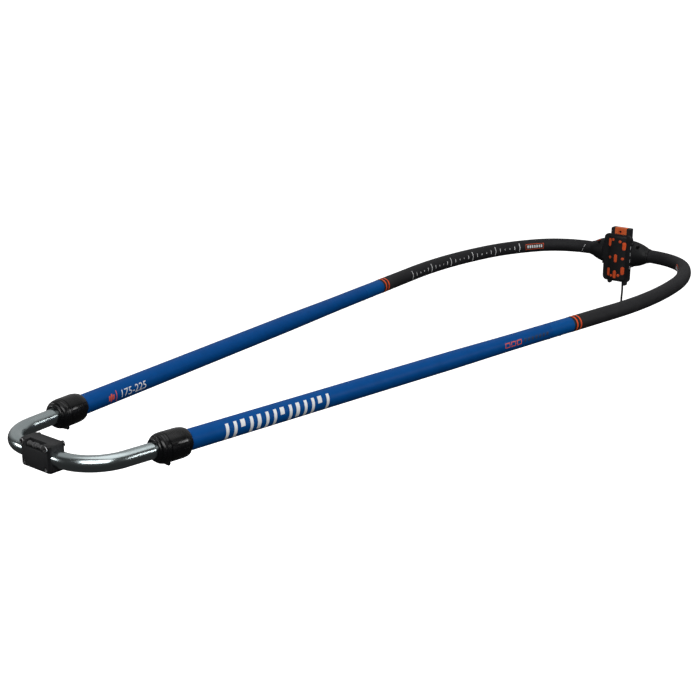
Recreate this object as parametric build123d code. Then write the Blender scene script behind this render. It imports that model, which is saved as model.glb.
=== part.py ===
from build123d import *
import math
import os

# Windsurfing wishbone boom, millimetres.
# Origin: middle of the mast pad's face, on the plane of the boom's tubes.
# +Y runs forward to the front tube, +X to the right-hand arm, +Z up.

# Plan of the wishbone
BOOM_LENGTH = 1748.0  # front tube axis to tail tube axis, tail pushed in
TAIL_TRAVEL = 500.0  # how far the tail slides out
FRONT_Y = 25.0  # front tube axis ahead of the pad's face
FRONT_HALF = 78.0  # half of the straight stretch that the head clamps on
BEND_RADII = (141.0, 407.0, 979.0)  # from the front corner towards the tail
BEND_TURNS = (59.0, 21.0, 17.1)  # degrees
TAIL_BEND_RADIUS = 70.0

# Tube radii
FRONT_TUBE_R, FRONT_TUBE_BORE = 14.0, 12.2
ARM_R, ARM_NECK_R = 16.75, 15.5
ARM_BORE, ARM_NECK_BORE = 14.4, 14.1
TAIL_TUBE_R, TAIL_TUBE_BORE = 12.75, 11.15
GRIP_R, GRIP_BORE = 15.7, 14.05

# Places along an arm, measured from the collar's mouth towards the front
ARM_START = 9.0
TAPER_START, TAPER_END = 615.0, 836.0
SPIGOT_START = 898.0
GRIP_START = 988.6
RING_OFFSETS = (7.0, 18.6)  # coloured bands, ahead of the grip's edge
RING_WIDTH = 4.0
RIVET_PLACES = (925.0, 960.0)
RIVET_R, RIVET_HEAD_R, RIVET_HEAD_HEIGHT = 1.6, 3.2, 0.9
MOUTH_Y = -1608.0

# Collar and its clip
COLLAR_LENGTH, COLLAR_R = 56.0, 24.0
SLEEVE_R, SLEEVE_BORE = 18.2, 16.85
CLIP_START, CLIP_END, CLIP_BORE = 14.0, 53.0, 18.6
CLIP_HINGE_DEPTH = 22.4  # hinge pin below the arm's axis
CLIP_PIN_PLACE, CLIP_PIN_R = 41.0, 2.4
HINGE_PIN_R, KNUCKLE_R, KNUCKLE_HALF = 1.5, 3.2, 9.0
EAR_WIDTH, EAR_GAP = 3.8, 0.4  # collar's lugs beside the clip's knuckle
MOUTH_BORE, BUSH_BORE, BUSH_END = 13.3, 12.85, 38.0
COLLAR_SCREW_ANGLE, COLLAR_SCREW_PLACE = 38.0, 30.0
COLLAR_SCREW_R, COLLAR_SCREW_HEAD_R = 1.4, 2.6

# Boom head
PAD_HALF_WIDTH, PAD_FACE_RADIUS = 27.0, 50.0
PAD_TOP, PAD_BOTTOM, PAD_BACK_Y = 43.0, -67.0, 6.5
PLATE_HALF_WIDTH, PLATE_TOP, PLATE_BOTTOM = 36.0, 46.0, -70.0
PLATE_FACE_Y, PLATE_BACK_Y = 7.0, 13.0
PLATE_CORNER, PAD_CORNER = 11.0, 9.0
PLATE_EARS, PLATE_EAR_R = ((24.0, 3.0), (-17.0, 1.5)), 5.2  # (x, drop below the plate)
LINER_R = 15.8
WING_SECTIONS = ((0.0, 22.0, 32.0), (20.0, 22.0, 32.0), (36.0, 22.0, 31.2), (44.0, 21.9, 29.6),
                 (51.0, 21.6, 27.6), (57.0, 21.2, 25.6), (62.0, 20.6, 23.4), (66.5, 19.8, 21.2),
                 (70.0, 18.8, 19.2), (73.0, 17.8, 17.9), (77.5, 17.0, 17.1))
LOWER_FINS = ((-63.0, 22.0, 16.0), (-51.0, 28.0, 17.0), (-39.0, 34.0, 18.0), (-28.0, 41.0, 20.0))
UPPER_FINS = ((38.0, 36.0, 18.0), (27.0, 40.0, 19.0))
FIN_THICKNESS, WEB_INSET = 4.5, 1.6
SPLIT_GAP = 0.15  # each half stops this short of the plane between them
BOLT_X, BOLT_Z, BOLT_R = 52.0, 20.2, 2.0
BOLT_HEAD_R, BOLT_SEAT, BOLT_HEAD_HEIGHT = 3.5, 8.0, 4.0
NUT_R, NUT_SEAT, NUT_HEIGHT = 3.5, 8.4, 3.2
HEAD_RECESS_R = 3.9  # round a bolt's head, and across a nut's pocket
LINER_HALF = 76.0
STUD_PILL, STUD_DOT = (8.2, 20.0), (7.0, 7.0)  # width and height
STUD_MIDDLE, STUD_DEPTH, STUD_PROUD = -11.5, 1.4, 0.6

# Lever on top of the head
PIVOT_Y, PIVOT_Z, PIVOT_R = 33.0, 29.0, 2.5
LEVER_HALF_WIDTH, POCKET_HALF_WIDTH = 25.5, 15.8
LEVER_AFT_Y, LEVER_FRONT_Y, LEVER_TOP, LEVER_FLOOR = 19.0, 34.0, 60.0, 39.5
CATCH_BOTTOM, CATCH_TOP = 44.0, 60.4
LEVER_ARM_X, LEVER_ARM_WIDTH, LEVER_ARM_R = 20.0, 5.5, 5.4
CAP_EAR_X, CAP_EAR_WIDTH, CAP_EAR_R = 9.5, 5.0, 4.8
CAP_SHOULDER, CAP_TOP = 23.4, 34.2  # where the cap is cut back for the lever
NOTCH_X, NOTCH_Y, NOTCH_Z, NOTCH_R = -1.5, 24.5, 50.0, 3.6
SPRING_Y, SPRING_R, SPRING_WIRE_R = 26.0, 1.7, 0.33

# Clamp line that hangs from the head
LINE_R = 2.5
LINE_ROUTE = ((14.0, 17.6, -66.2), (14.0, 17.6, -80.0), (14.9, 16.8, -95.0),
              (13.6, 17.5, -111.0), (14.3, 16.6, -126.0), (14.0, 16.9, -138.0))
KNOT_R, KNOT_LENGTH = 5.2, 11.0
FERRULE_R, FERRULE_LENGTH = 4.5, 3.4

# Tail block
BLOCK_HALF_WIDTH, BLOCK_DEPTH, BLOCK_BOTTOM, BLOCK_TOP = 34.0, 32.0, -22.0, 22.0
EYE_X, EYE_Z, EYE_BORE, EYE_R, EYE_FLANGE_R = 27.0, 17.2, 2.5, 3.3, 4.7
ROLLER_X, ROLLER_R, ROLLER_LENGTH = 9.0, 4.2, 14.0
ROLLER_AFT, ROLLER_Z = 11.0, 15.6
AXLE_R, AXLE_HALF = 1.5, 22.2
TAIL_SCREW_X, TAIL_SCREW_Z = 25.0, -16.0
TAIL_SCREW_R, TAIL_SCREW_HEAD_R = 1.9, 3.4
CHANNEL_HALF, CHANNEL_DEPTH, CHANNEL_FLOOR = 19.5, 10.2, 10.4

TAIL_Y = FRONT_Y - BOOM_LENGTH
ARM_ANGLE = sum(BEND_TURNS) - 90.0
ARM_COS = math.cos(math.radians(ARM_ANGLE))
ARM_SIN = math.sin(math.radians(ARM_ANGLE))
SPLIT_Y = TAIL_Y + TAIL_BEND_RADIUS  # tail tube: bow behind this plane, legs ahead
LEG_GAP = 0.3
LEG_LENGTH = TAIL_TRAVEL + 150.0
GLIDE_LENGTH = 50.0
HOLE_PITCH, HOLE_R = 25.0, 2.7
SLIP = 0.05  # radial clearance of a pin or rivet in its hole
SCREW_SLIP = 0.1  # clearance all round a screw or bolt
PRESS = 0.02  # radial gap of a pressed fit
FAR = 100.0  # reach of cutting shapes, past every edge of the head


# ---------------------------------------------------------------- helpers

def cylinder_between(start, end, radius):
    """Solid rod from one point to another."""
    start, end = Vector(*start), Vector(*end)
    axis = end - start
    base = Plane(origin=start, z_dir=axis)
    return extrude(base * Circle(radius), axis.length)


def box_between(low, high):
    """Box from its lowest to its highest corner."""
    size = [b - a for a, b in zip(low, high)]
    middle = [(a + b) / 2 for a, b in zip(low, high)]
    return Pos(*middle) * Box(*size)


def turned(points):
    """Solid of revolution about Z from (radius, height) points."""
    outline = [(r, 0, z) for r, z in points]
    face = make_face(Polyline(*outline, close=True))
    return revolve(face, Axis.Z)


def left_of(shape):
    """The same piece on the left-hand side."""
    return mirror(shape, about=Plane.YZ)


def merged(shapes):
    """One shape from several."""
    total = shapes[0]
    for shape in shapes[1:]:
        total = total + shape
    return total


def group(shapes):
    """Separate solids kept side by side in one node."""
    return Compound(children=[s for shape in shapes for s in shape.solids()])


def bend_line():
    """Right half of the front tube's centre line, from the front centre to the straight arm."""
    edges = [Line((0, FRONT_Y), (FRONT_HALF, FRONT_Y))]
    for radius, turn in zip(BEND_RADII, BEND_TURNS):
        last = edges[-1]
        edges.append(JernArc(start=last @ 1, tangent=last % 1, radius=radius, arc_size=-turn))
    return edges


BEND = bend_line()
BEND_END = BEND[-1] @ 1


def arm_x(y):
    """Half width between the arms' axes at a place on their straight stretch."""
    return BEND_END.X - (BEND_END.Y - y) * math.tan(math.radians(ARM_ANGLE))


MOUTH = (arm_x(MOUTH_Y), MOUTH_Y, 0)
# Right-hand arm's frame: Z along the arm to the front, X outwards, Y down
ARM = Plane(origin=MOUTH, x_dir=(ARM_COS, -ARM_SIN, 0), z_dir=(ARM_SIN, ARM_COS, 0)).location


def arm_point(distance):
    """Point on the right-hand arm's axis."""
    return (MOUTH[0] + distance * ARM_SIN, MOUTH[1] + distance * ARM_COS)


# ---------------------------------------------------------------- wishbone tubes

def front_tube():
    """Bent front tube; its ends plug into the two arms."""
    end = Line(BEND_END, arm_point(SPIGOT_START))
    half = BEND[1:] + [end]
    front = Line((-FRONT_HALF, FRONT_Y), (FRONT_HALF, FRONT_Y))
    path = Wire([front] + half + [e.mirror(Plane.YZ) for e in half])
    start = Plane(origin=arm_point(SPIGOT_START) + (0,), z_dir=(ARM_SIN, ARM_COS, 0))
    ring = start * (Circle(FRONT_TUBE_R) - Circle(FRONT_TUBE_BORE))
    tube = sweep(ring, path=path)
    for rivet in rivet_shapes(SLIP):
        tube -= ARM * rivet
        tube -= left_of(ARM * rivet)
    return tube


def arm_tube():
    """Right-hand arm: straight tube, swaged down to a neck at the grip."""
    tube = turned([
        (ARM_BORE, ARM_START), (ARM_R, ARM_START), (ARM_R, TAPER_START),
        (ARM_NECK_R, TAPER_END), (ARM_NECK_R, GRIP_START), (ARM_NECK_BORE, GRIP_START),
        (ARM_NECK_BORE, SPIGOT_START), (ARM_BORE, SPIGOT_START)])
    tube -= pin_slot(ARM_BORE - 1, ARM_R + 1)
    for screw in collar_screw_shapes(SCREW_SLIP):
        tube -= screw
    for rivet in rivet_shapes(SLIP):
        tube -= rivet
    return ARM * tube


def grip_line():
    """Centre line of the right-hand grip, from the head's wing to the arm's neck."""
    return Wire(BEND[1:] + [Line(BEND_END, arm_point(GRIP_START + 0.2))])


def band_path(distance):
    """Short straight stretch under one coloured band."""
    return arm_point(distance) + (0,), arm_point(distance + RING_WIDTH) + (0,)


def band_places():
    """Distances of the coloured bands from the collar's mouth."""
    return [GRIP_START + offset for offset in RING_OFFSETS]


def grip_bands():
    """Coloured bands let into the grips' rear ends."""
    bands = []
    for distance in band_places():
        start, end = band_path(distance)
        ring = cylinder_between(start, end, GRIP_R + 0.05) - cylinder_between(start, end, GRIP_R - 0.6)
        bands += [ring, left_of(ring)]
    return group(bands)


def grip():
    """Right-hand grip: a foam sleeve over the bent tube."""
    start = Plane(origin=(FRONT_HALF, FRONT_Y, 0), z_dir=(1, 0, 0))
    sleeve = sweep(start * (Circle(GRIP_R) - Circle(GRIP_BORE)), path=grip_line())
    for distance in band_places():
        start, end = band_path(distance)
        groove = cylinder_between(start, end, GRIP_R + 1) - cylinder_between(start, end, GRIP_R - 0.62)
        sleeve -= groove
    return sleeve


def rivet_shapes(clearance=0.0):
    """Blind rivets under the arm's neck, in the arm's frame."""
    shapes = []
    for place in RIVET_PLACES:
        top = ARM_NECK_R + RIVET_HEAD_HEIGHT
        stem = cylinder_between((0, 11.6, place), (0, ARM_NECK_R + 0.5, place), RIVET_R + clearance)
        head = cylinder_between((0, ARM_NECK_R - 0.5, place), (0, top, place), RIVET_HEAD_R)
        head -= cylinder_between((0, 0, place - 5), (0, 0, place + 5), ARM_NECK_R + PRESS)
        shapes.append(stem if clearance else stem + head)
    return shapes


def arm_rivets():
    """Rivets that hold the front tube's ends in both arms."""
    right = [ARM * shape for shape in rivet_shapes()]
    return group(right + [left_of(shape) for shape in right])


# ---------------------------------------------------------------- collars and clips

def pin_slot(inner, outer):
    """Slot for the lock pin, wide enough for its swing, in the arm's frame."""
    return box_between((-3.0, inner, CLIP_PIN_PLACE - 3.4), (3.0, outer, CLIP_PIN_PLACE + 8.0))


def hinge_cylinder(half, radius):
    """Cylinder on the clip's hinge axis, in the arm's frame."""
    place = (CLIP_HINGE_DEPTH, CLIP_START)
    return cylinder_between((-half, *place), (half, *place), radius)


def collar_ears():
    """Lugs on the collar that hold the clip's hinge pin."""
    inner = KNUCKLE_HALF + EAR_GAP
    lug = cylinder_between((inner, CLIP_HINGE_DEPTH, CLIP_START),
                           (inner + EAR_WIDTH, CLIP_HINGE_DEPTH, CLIP_START), KNUCKLE_R)
    lug += box_between((inner, CLIP_HINGE_DEPTH - 8, CLIP_START - KNUCKLE_R),
                       (inner + EAR_WIDTH, CLIP_HINGE_DEPTH, CLIP_START + KNUCKLE_R))
    return [lug, left_of(lug)]


def collar_body():
    """Right-hand collar: end ring, upper shell and the sleeve under the clip."""
    shell = turned([
        (MOUTH_BORE, 0), (20.5, 0), (22.9, 2.2), (COLLAR_R, 7), (COLLAR_R, COLLAR_LENGTH - 14),
        (22.6, COLLAR_LENGTH - 6), (19.6, COLLAR_LENGTH), (SLEEVE_BORE, COLLAR_LENGTH),
        (SLEEVE_BORE, ARM_START - 0.2), (MOUTH_BORE, ARM_START - 0.2)])
    room = box_between((-30, 0.6, CLIP_START - 0.2), (30, 30, COLLAR_LENGTH + 1))
    knuckle_room = hinge_cylinder(KNUCKLE_HALF + EAR_GAP, KNUCKLE_R + EAR_GAP)
    sleeve = cylinder_between((0, 0, 0), (0, 0, COLLAR_LENGTH + 2), SLEEVE_R)
    pin_hole = hinge_cylinder(COLLAR_R, HINGE_PIN_R + SLIP)
    core = cylinder_between((0, 0, 0), (0, 0, COLLAR_LENGTH), SLEEVE_R)
    ears = merged([ear - core for ear in collar_ears()])
    body = shell - (room - sleeve) - (knuckle_room - sleeve) + ears
    body -= cylinder_between((0, 0, ARM_START - 0.2), (0, 0, COLLAR_LENGTH + 1), SLEEVE_BORE)
    body -= pin_hole
    body -= pin_slot(ARM_R - 1, COLLAR_R)
    for screw in collar_screw_shapes(SCREW_SLIP):
        body -= screw
    return ARM * body


def collar_bush():
    """Glide bush in the arm's mouth, around the tail tube."""
    front, back = MOUTH_BORE - 0.1, ARM_BORE - 0.08
    bush = turned([(BUSH_BORE, 0.3), (front, 0.3), (front, ARM_START + 0.2), (back, ARM_START + 0.2),
                   (back, BUSH_END), (BUSH_BORE, BUSH_END)])
    return ARM * bush


def collar_ring():
    """Bezel ring that closes the collar's mouth."""
    ring = turned([(12.95, -4.0), (17.5, -4.0), (19.2, -2.4), (19.4, -0.1), (12.95, -0.1)])
    return ARM * ring


def collar_screw_shapes(clearance=0.0):
    """Countersunk screws through the sleeve into the arm, in the arm's frame."""
    shapes = []
    for angle in (-COLLAR_SCREW_ANGLE, COLLAR_SCREW_ANGLE):
        across, down = math.sin(math.radians(angle)), math.cos(math.radians(angle))

        def at(radius):
            return (across * radius, down * radius, COLLAR_SCREW_PLACE)
        shank = cylinder_between(at(14.7), at(17.5), COLLAR_SCREW_R + clearance)
        head = cylinder_between(at(16.95), at(18.1 + clearance), COLLAR_SCREW_HEAD_R + clearance)
        shapes.append(shank + head)
    return shapes


def collar_screws():
    """The screws of both collars."""
    right = [ARM * shape for shape in collar_screw_shapes()]
    return group(right + [left_of(shape) for shape in right])


def clip():
    """Right-hand clip: the collar's lower half, hinged at its tail end."""
    start, end = CLIP_START, CLIP_END
    shell = turned([
        (CLIP_BORE, start), (COLLAR_R, start), (COLLAR_R, end - 11), (22.7, end - 3.5), (20.6, end),
        (CLIP_BORE, end)])
    shell -= box_between((-30, -30, 0), (30, 1.0, 70))
    notches = merged([box_between((x, 0, end - 9), (x + 8, 7, end + 1)) for x in (-26.0, 18.0)])
    boss = cylinder_between((0, CLIP_BORE + 0.2, CLIP_PIN_PLACE), (0, 22.5, CLIP_PIN_PLACE), 5.0)
    low = KNUCKLE_HALF + 0.1
    room = box_between((low, 12, start - 7), (low + EAR_WIDTH + 0.8, 26, start + KNUCKLE_R + EAR_GAP))
    lever = shell - notches - room - left_of(room) + boss + hinge_cylinder(KNUCKLE_HALF, KNUCKLE_R)
    lever -= cylinder_between((0, 0, 0), (0, 0, 70), CLIP_BORE)
    lever -= hinge_cylinder(COLLAR_R, HINGE_PIN_R + SLIP)
    lever -= cylinder_between((0, 15, CLIP_PIN_PLACE), (0, 22.0, CLIP_PIN_PLACE), CLIP_PIN_R + SLIP)
    return ARM * lever


def clip_hinge_pins():
    """Hinge pins of both clips."""
    pin = ARM * hinge_cylinder(KNUCKLE_HALF + EAR_GAP + EAR_WIDTH - 0.2, HINGE_PIN_R)
    return group([pin, left_of(pin)])


def lock_pin():
    """Right-hand lock pin, carried by the clip; it stops just clear of the tail tube."""
    tip = TAIL_TUBE_R + 0.45
    stem = cylinder_between((0, tip, CLIP_PIN_PLACE), (0, 21.9, CLIP_PIN_PLACE), CLIP_PIN_R)
    return ARM * stem


# ---------------------------------------------------------------- sliding tail

def tail_leg():
    """Right-hand leg of the tail tube, with a row of holes for the lock pin."""
    start = (SPLIT_Y + LEG_GAP - MOUTH_Y) / ARM_COS
    low, high = start - 10, start + LEG_LENGTH
    leg = turned([(TAIL_TUBE_BORE, low), (TAIL_TUBE_R, low), (TAIL_TUBE_R, high), (TAIL_TUBE_BORE, high)])
    place = CLIP_PIN_PLACE
    while place < high - GLIDE_LENGTH - 10:
        leg -= cylinder_between((0, 5, place), (0, 15, place), HOLE_R)
        place += HOLE_PITCH
    behind = box_between((0, SPLIT_Y - 60, -30), (300, SPLIT_Y + LEG_GAP, 30))
    return ARM * leg - behind


def leg_end():
    """Distance of the leg's front end from the collar's mouth."""
    return (SPLIT_Y + LEG_GAP - MOUTH_Y) / ARM_COS + LEG_LENGTH


def leg_glide():
    """Sleeve on the leg's front end that runs in the arm."""
    low, high = leg_end() - GLIDE_LENGTH, leg_end() + 3
    inner, outer = TAIL_TUBE_R + SLIP, ARM_BORE - 0.08
    sleeve = turned([
        (inner, low), (outer, low), (outer, high), (6.0, high),
        (6.0, high - 2.9), (inner, high - 2.9)])
    return ARM * sleeve


def tail_bow():
    """Bent tail tube, behind the plane where the two legs start."""
    turn = 90.0 - ARM_ANGLE
    reach = TAIL_BEND_RADIUS * math.sin(math.radians(turn))
    rise = TAIL_BEND_RADIUS * math.cos(math.radians(turn))
    bend_x = arm_x(SPLIT_Y - rise)
    middle = bend_x - reach
    cross = Line((-middle, TAIL_Y), (middle, TAIL_Y))
    corner = JernArc(start=cross @ 1, tangent=cross % 1, radius=TAIL_BEND_RADIUS, arc_size=turn)
    stub = Line(corner @ 1, (arm_x(SPLIT_Y + 10), SPLIT_Y + 10))
    half = [corner, stub]
    path = Wire([cross] + half + [e.mirror(Plane.YZ) for e in half])
    start = Plane(origin=(arm_x(SPLIT_Y + 10), SPLIT_Y + 10, 0), z_dir=(ARM_SIN, ARM_COS, 0))
    tube = sweep(start * (Circle(TAIL_TUBE_R) - Circle(TAIL_TUBE_BORE)), path=path)
    return tube - box_between((-200, SPLIT_Y, -30), (200, SPLIT_Y + 60, 30))


def block_outline():
    """Whole tail block, before it is split and bored."""
    half = BLOCK_DEPTH / 2
    block = box_between((-BLOCK_HALF_WIDTH, TAIL_Y - half, BLOCK_BOTTOM),
                        (BLOCK_HALF_WIDTH, TAIL_Y + half, BLOCK_TOP))
    block = fillet(block.edges().filter_by(Axis.Z), 6.5)
    block = fillet(block.edges().group_by(Axis.Z)[0], 5.0)
    return fillet(block.edges().group_by(Axis.Z)[-1], 3.0)


def channel():
    """Recess for the two line rollers, along the block's upper rear edge."""
    aft = TAIL_Y - BLOCK_DEPTH / 2
    top = BLOCK_TOP + 1
    return box_between((-CHANNEL_HALF, aft - 1, CHANNEL_FLOOR), (CHANNEL_HALF, aft + CHANNEL_DEPTH, top))


def block_half(aft):
    """Rear or front half of the tail block."""
    block = block_outline() - channel()
    block -= cylinder_between((-FAR, TAIL_Y, 0), (FAR, TAIL_Y, 0), TAIL_TUBE_R + SLIP)
    for x in (-EYE_X, EYE_X):
        block -= cylinder_between((x, TAIL_Y - 30, EYE_Z), (x, TAIL_Y + 30, EYE_Z), EYE_R + SLIP)
    for x in (-TAIL_SCREW_X, TAIL_SCREW_X):
        block -= tail_screw(x, SCREW_SLIP)
    axle_y = TAIL_Y - ROLLER_AFT
    half = AXLE_HALF + 0.3
    block -= cylinder_between((-half, axle_y, ROLLER_Z), (half, axle_y, ROLLER_Z), AXLE_R + 0.03)
    side = -1 if aft else 1
    cut_y = TAIL_Y + side * SPLIT_GAP
    low_y, high_y = sorted((cut_y, cut_y - side * FAR))
    return block - box_between((-FAR, low_y, -FAR), (FAR, high_y, FAR))


def tail_screw(x, clearance=0.0):
    """Screw that draws the block's halves together."""
    aft, fore = TAIL_Y - BLOCK_DEPTH / 2, TAIL_Y + BLOCK_DEPTH / 2
    z = TAIL_SCREW_Z
    head_start = aft - 2 if clearance else aft + 0.4
    head = cylinder_between((x, head_start, z), (x, aft + 3.2, z), TAIL_SCREW_HEAD_R + clearance)
    shank = cylinder_between((x, aft + 3.0, z), (x, fore - 3, z), TAIL_SCREW_R + clearance)
    face = Plane(origin=(x, aft + 0.4, z), z_dir=(0, 1, 0))
    socket = extrude(face * RegularPolygon(1.7, 6), 1.6)
    return head + shank if clearance else head + shank - socket


def tail_screws():
    """Both screws of the tail block."""
    return group([tail_screw(x) for x in (-TAIL_SCREW_X, TAIL_SCREW_X)])


def line_eyes():
    """Flanged steel eyes that the outhaul line runs through."""
    eyes = []
    for x in (-EYE_X, EYE_X):
        aft, fore = TAIL_Y - BLOCK_DEPTH / 2, TAIL_Y + BLOCK_DEPTH / 2
        tube = cylinder_between((x, aft - 1, EYE_Z), (x, fore + 1, EYE_Z), EYE_R)
        for y in (aft - 1, fore + 0.02):
            tube += cylinder_between((x, y, EYE_Z), (x, y + 0.98, EYE_Z), EYE_FLANGE_R)
        eyes.append(tube - cylinder_between((x, aft - 3, EYE_Z), (x, fore + 3, EYE_Z), EYE_BORE))
    return group(eyes)


def roller(x):
    """One waisted line roller."""
    half = ROLLER_LENGTH / 2
    waist = ROLLER_R - 1.1
    shape = turned([
        (AXLE_R + 0.06, -half), (ROLLER_R, -half), (ROLLER_R, -half + 2), (waist, -2.5), (waist, 2.5),
        (ROLLER_R, half - 2), (ROLLER_R, half), (AXLE_R + 0.06, half)])
    return Pos(x, TAIL_Y - ROLLER_AFT, ROLLER_Z) * Rot(0, 90, 0) * shape


def roller_axle():
    """Axle that carries both rollers."""
    y = TAIL_Y - ROLLER_AFT
    return cylinder_between((-AXLE_HALF, y, ROLLER_Z), (AXLE_HALF, y, ROLLER_Z), AXLE_R)


# ---------------------------------------------------------------- boom head

def wing_solid():
    """Whole barrel and wings around the front tube, as one smooth spindle."""
    sections = []
    for x, depth, height in WING_SECTIONS:
        plane = Plane(origin=(x, FRONT_Y, 0), x_dir=(0, 1, 0), z_dir=(1, 0, 0))
        sections.append(plane * Ellipse(depth, height))
    right = loft(sections, ruled=True)
    return right + left_of(right)


def tube_bore(radius):
    """Straight bore along the front tube."""
    return cylinder_between((-FAR, FRONT_Y, 0), (FAR, FRONT_Y, 0), radius)


def front_half_space():
    """Everything ahead of the head's split plane."""
    return box_between((-FAR, FRONT_Y - SPLIT_GAP, -FAR), (FAR, FRONT_Y + FAR, FAR))


def aft_half_space():
    """Everything behind the head's split plane."""
    return box_between((-FAR, FRONT_Y - FAR, -FAR), (FAR, FRONT_Y + SPLIT_GAP, FAR))


def pad_solid(clearance=0.0):
    """Mast pad: flat back, face crowned from side to side."""
    half = PAD_HALF_WIDTH + clearance
    top, bottom = PAD_TOP + clearance, PAD_BOTTOM - clearance
    block = box_between((-half, -2, bottom), (half, PAD_BACK_Y + clearance, top))
    if clearance:
        return fillet(block.edges().filter_by(Axis.Y), PAD_CORNER)
    return block & crown(PAD_FACE_RADIUS)


def crown(radius):
    """Upright cylinder about the axis of the pad's crowned face."""
    return cylinder_between((0, PAD_FACE_RADIUS, -FAR), (0, PAD_FACE_RADIUS, FAR), radius)


def pad_rim_depth(x):
    """How far the crowned face has fallen back at a distance from the middle."""
    return PAD_FACE_RADIUS - math.sqrt(PAD_FACE_RADIUS ** 2 - x ** 2)


def plate():
    """Upright plate behind the pad, with rounded corners and drawn-down ears."""
    outline = Plane(origin=(0, PLATE_FACE_Y, 0), x_dir=(1, 0, 0), z_dir=(0, -1, 0))
    height = PLATE_TOP - PLATE_BOTTOM
    middle = (PLATE_TOP + PLATE_BOTTOM) / 2
    face = outline * (Pos(0, middle) * RectangleRounded(2 * PLATE_HALF_WIDTH, height, PLATE_CORNER))
    body = extrude(face, -(PLATE_BACK_Y - PLATE_FACE_Y))
    return body + merged([plate_ear(x, drop) for x, drop in PLATE_EARS])


def plate_ear(x, drop):
    """Rounded ear that hangs below the plate's lower edge."""
    foot = PLATE_BOTTOM - drop
    ear = cylinder_between((x, PLATE_FACE_Y, foot), (x, PLATE_BACK_Y, foot), PLATE_EAR_R)
    return ear + box_between((x - PLATE_EAR_R, PLATE_FACE_Y, foot),
                             (x + PLATE_EAR_R, PLATE_BACK_Y, PLATE_BOTTOM + 8))


def fins():
    """Level ribs that brace the plate to the barrel, stepping in towards its ends."""
    return [level_slab(z, half, reach, FIN_THICKNESS) for z, half, reach in LOWER_FINS + UPPER_FINS]


def level_slab(z, half, reach, thickness):
    """Slab with rounded corners, from inside the plate out to its reach."""
    start = PLATE_FACE_Y + 1
    slab = Pos(0, (start + reach) / 2, z) * Box(2 * half, reach - start, thickness)
    return fillet(slab.edges().filter_by(Axis.Z), 3.0)


def fin_webs():
    """Walls between neighbouring ribs, set in from their edges, so that the ribs step in like stairs."""
    webs = []
    for group_of_fins in (LOWER_FINS, UPPER_FINS):
        for (z, half, reach), (next_z, _, _) in zip(group_of_fins, group_of_fins[1:]):
            depth = reach - WEB_INSET / 2
            webs.append(level_slab((z + next_z) / 2, half - WEB_INSET, depth, abs(next_z - z)))
    return webs


def bolt_places():
    """Where the four clamp bolts cross the wings."""
    return [(x, z) for x in (-BOLT_X, BOLT_X) for z in (-BOLT_Z, BOLT_Z)]


def bolt_holes():
    """Clearance for the clamp bolts, their heads and their nuts."""
    holes = []
    for x, z in bolt_places():
        recess_y = FRONT_Y + BOLT_SEAT - 0.2
        pocket = Plane(origin=(x, FRONT_Y - NUT_SEAT + 0.2, z), z_dir=(0, -1, 0))
        holes.append(cylinder_between((x, FRONT_Y - 20, z), (x, FRONT_Y + 20, z), BOLT_R + SCREW_SLIP))
        holes.append(cylinder_between((x, recess_y, z), (x, FRONT_Y + 30, z), HEAD_RECESS_R))
        holes.append(extrude(pocket * RegularPolygon(HEAD_RECESS_R, 6, major_radius=False), 20))
    return holes


def head_body():
    """Rear half of the boom head: plate, ribs, core and the wings' rear halves."""
    core = box_between((-20, PLATE_FACE_Y + 1, PLATE_BOTTOM + 4), (20, 18, PLATE_TOP - 3))
    line_x, line_y = LINE_ROUTE[0][:2]
    boss = cylinder_between((line_x, line_y, PLATE_BOTTOM + 4), (line_x, line_y, -50), FERRULE_R + 0.6)
    body = wing_solid() + core + boss + plate()
    for rib in fins() + fin_webs():
        body += rib
    body -= front_half_space()
    body -= tube_bore(LINER_R + PRESS)
    body -= box_between((-40, -50, -80), (40, PLATE_FACE_Y - 0.01, 80)) - plate()
    body -= pad_solid(SCREW_SLIP)
    for hole in bolt_holes():
        body -= hole
    return body


def head_cap():
    """Front half of the boom head, with the lever's ears."""
    cap = wing_solid() - aft_half_space()
    for x in (-CAP_EAR_X - CAP_EAR_WIDTH, CAP_EAR_X):
        ear = cylinder_between((x, PIVOT_Y, PIVOT_Z), (x + CAP_EAR_WIDTH, PIVOT_Y, PIVOT_Z), CAP_EAR_R)
        ear += box_between((x, PIVOT_Y - CAP_EAR_R, 15),
                           (x + CAP_EAR_WIDTH, PIVOT_Y + CAP_EAR_R, PIVOT_Z))
        cap += ear
    side = box_between((LEVER_ARM_X - 0.4, FRONT_Y + 2, CAP_SHOULDER), (30, FRONT_Y + 30, 60))
    cap -= side
    cap -= left_of(side)
    cap -= box_between((-60, FRONT_Y - 1, CAP_TOP), (60, FRONT_Y + 40, 60))
    cap -= lever_sweep_room()
    cap -= tube_bore(LINER_R + PRESS)
    cap -= pivot_cylinder(-30, 30, PIVOT_R + PRESS)
    for hole in bolt_holes():
        cap -= hole
    return cap


def lever_sweep_room():
    """Room for the lever's outer arms as they turn about the pivot."""
    right = pivot_cylinder(LEVER_ARM_X - 0.4, LEVER_HALF_WIDTH + 1.5, LEVER_ARM_R + 1)
    return right + left_of(right)


def pivot_cylinder(start, end, radius):
    """Cylinder on the lever's pivot axis."""
    return cylinder_between((start, PIVOT_Y, PIVOT_Z), (end, PIVOT_Y, PIVOT_Z), radius)


def tube_liner():
    """Rubber sleeve between the front tube and the head."""
    outer = cylinder_between((-LINER_HALF, FRONT_Y, 0), (LINER_HALF, FRONT_Y, 0), LINER_R)
    return outer - tube_bore(FRONT_TUBE_R + PRESS)


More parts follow.
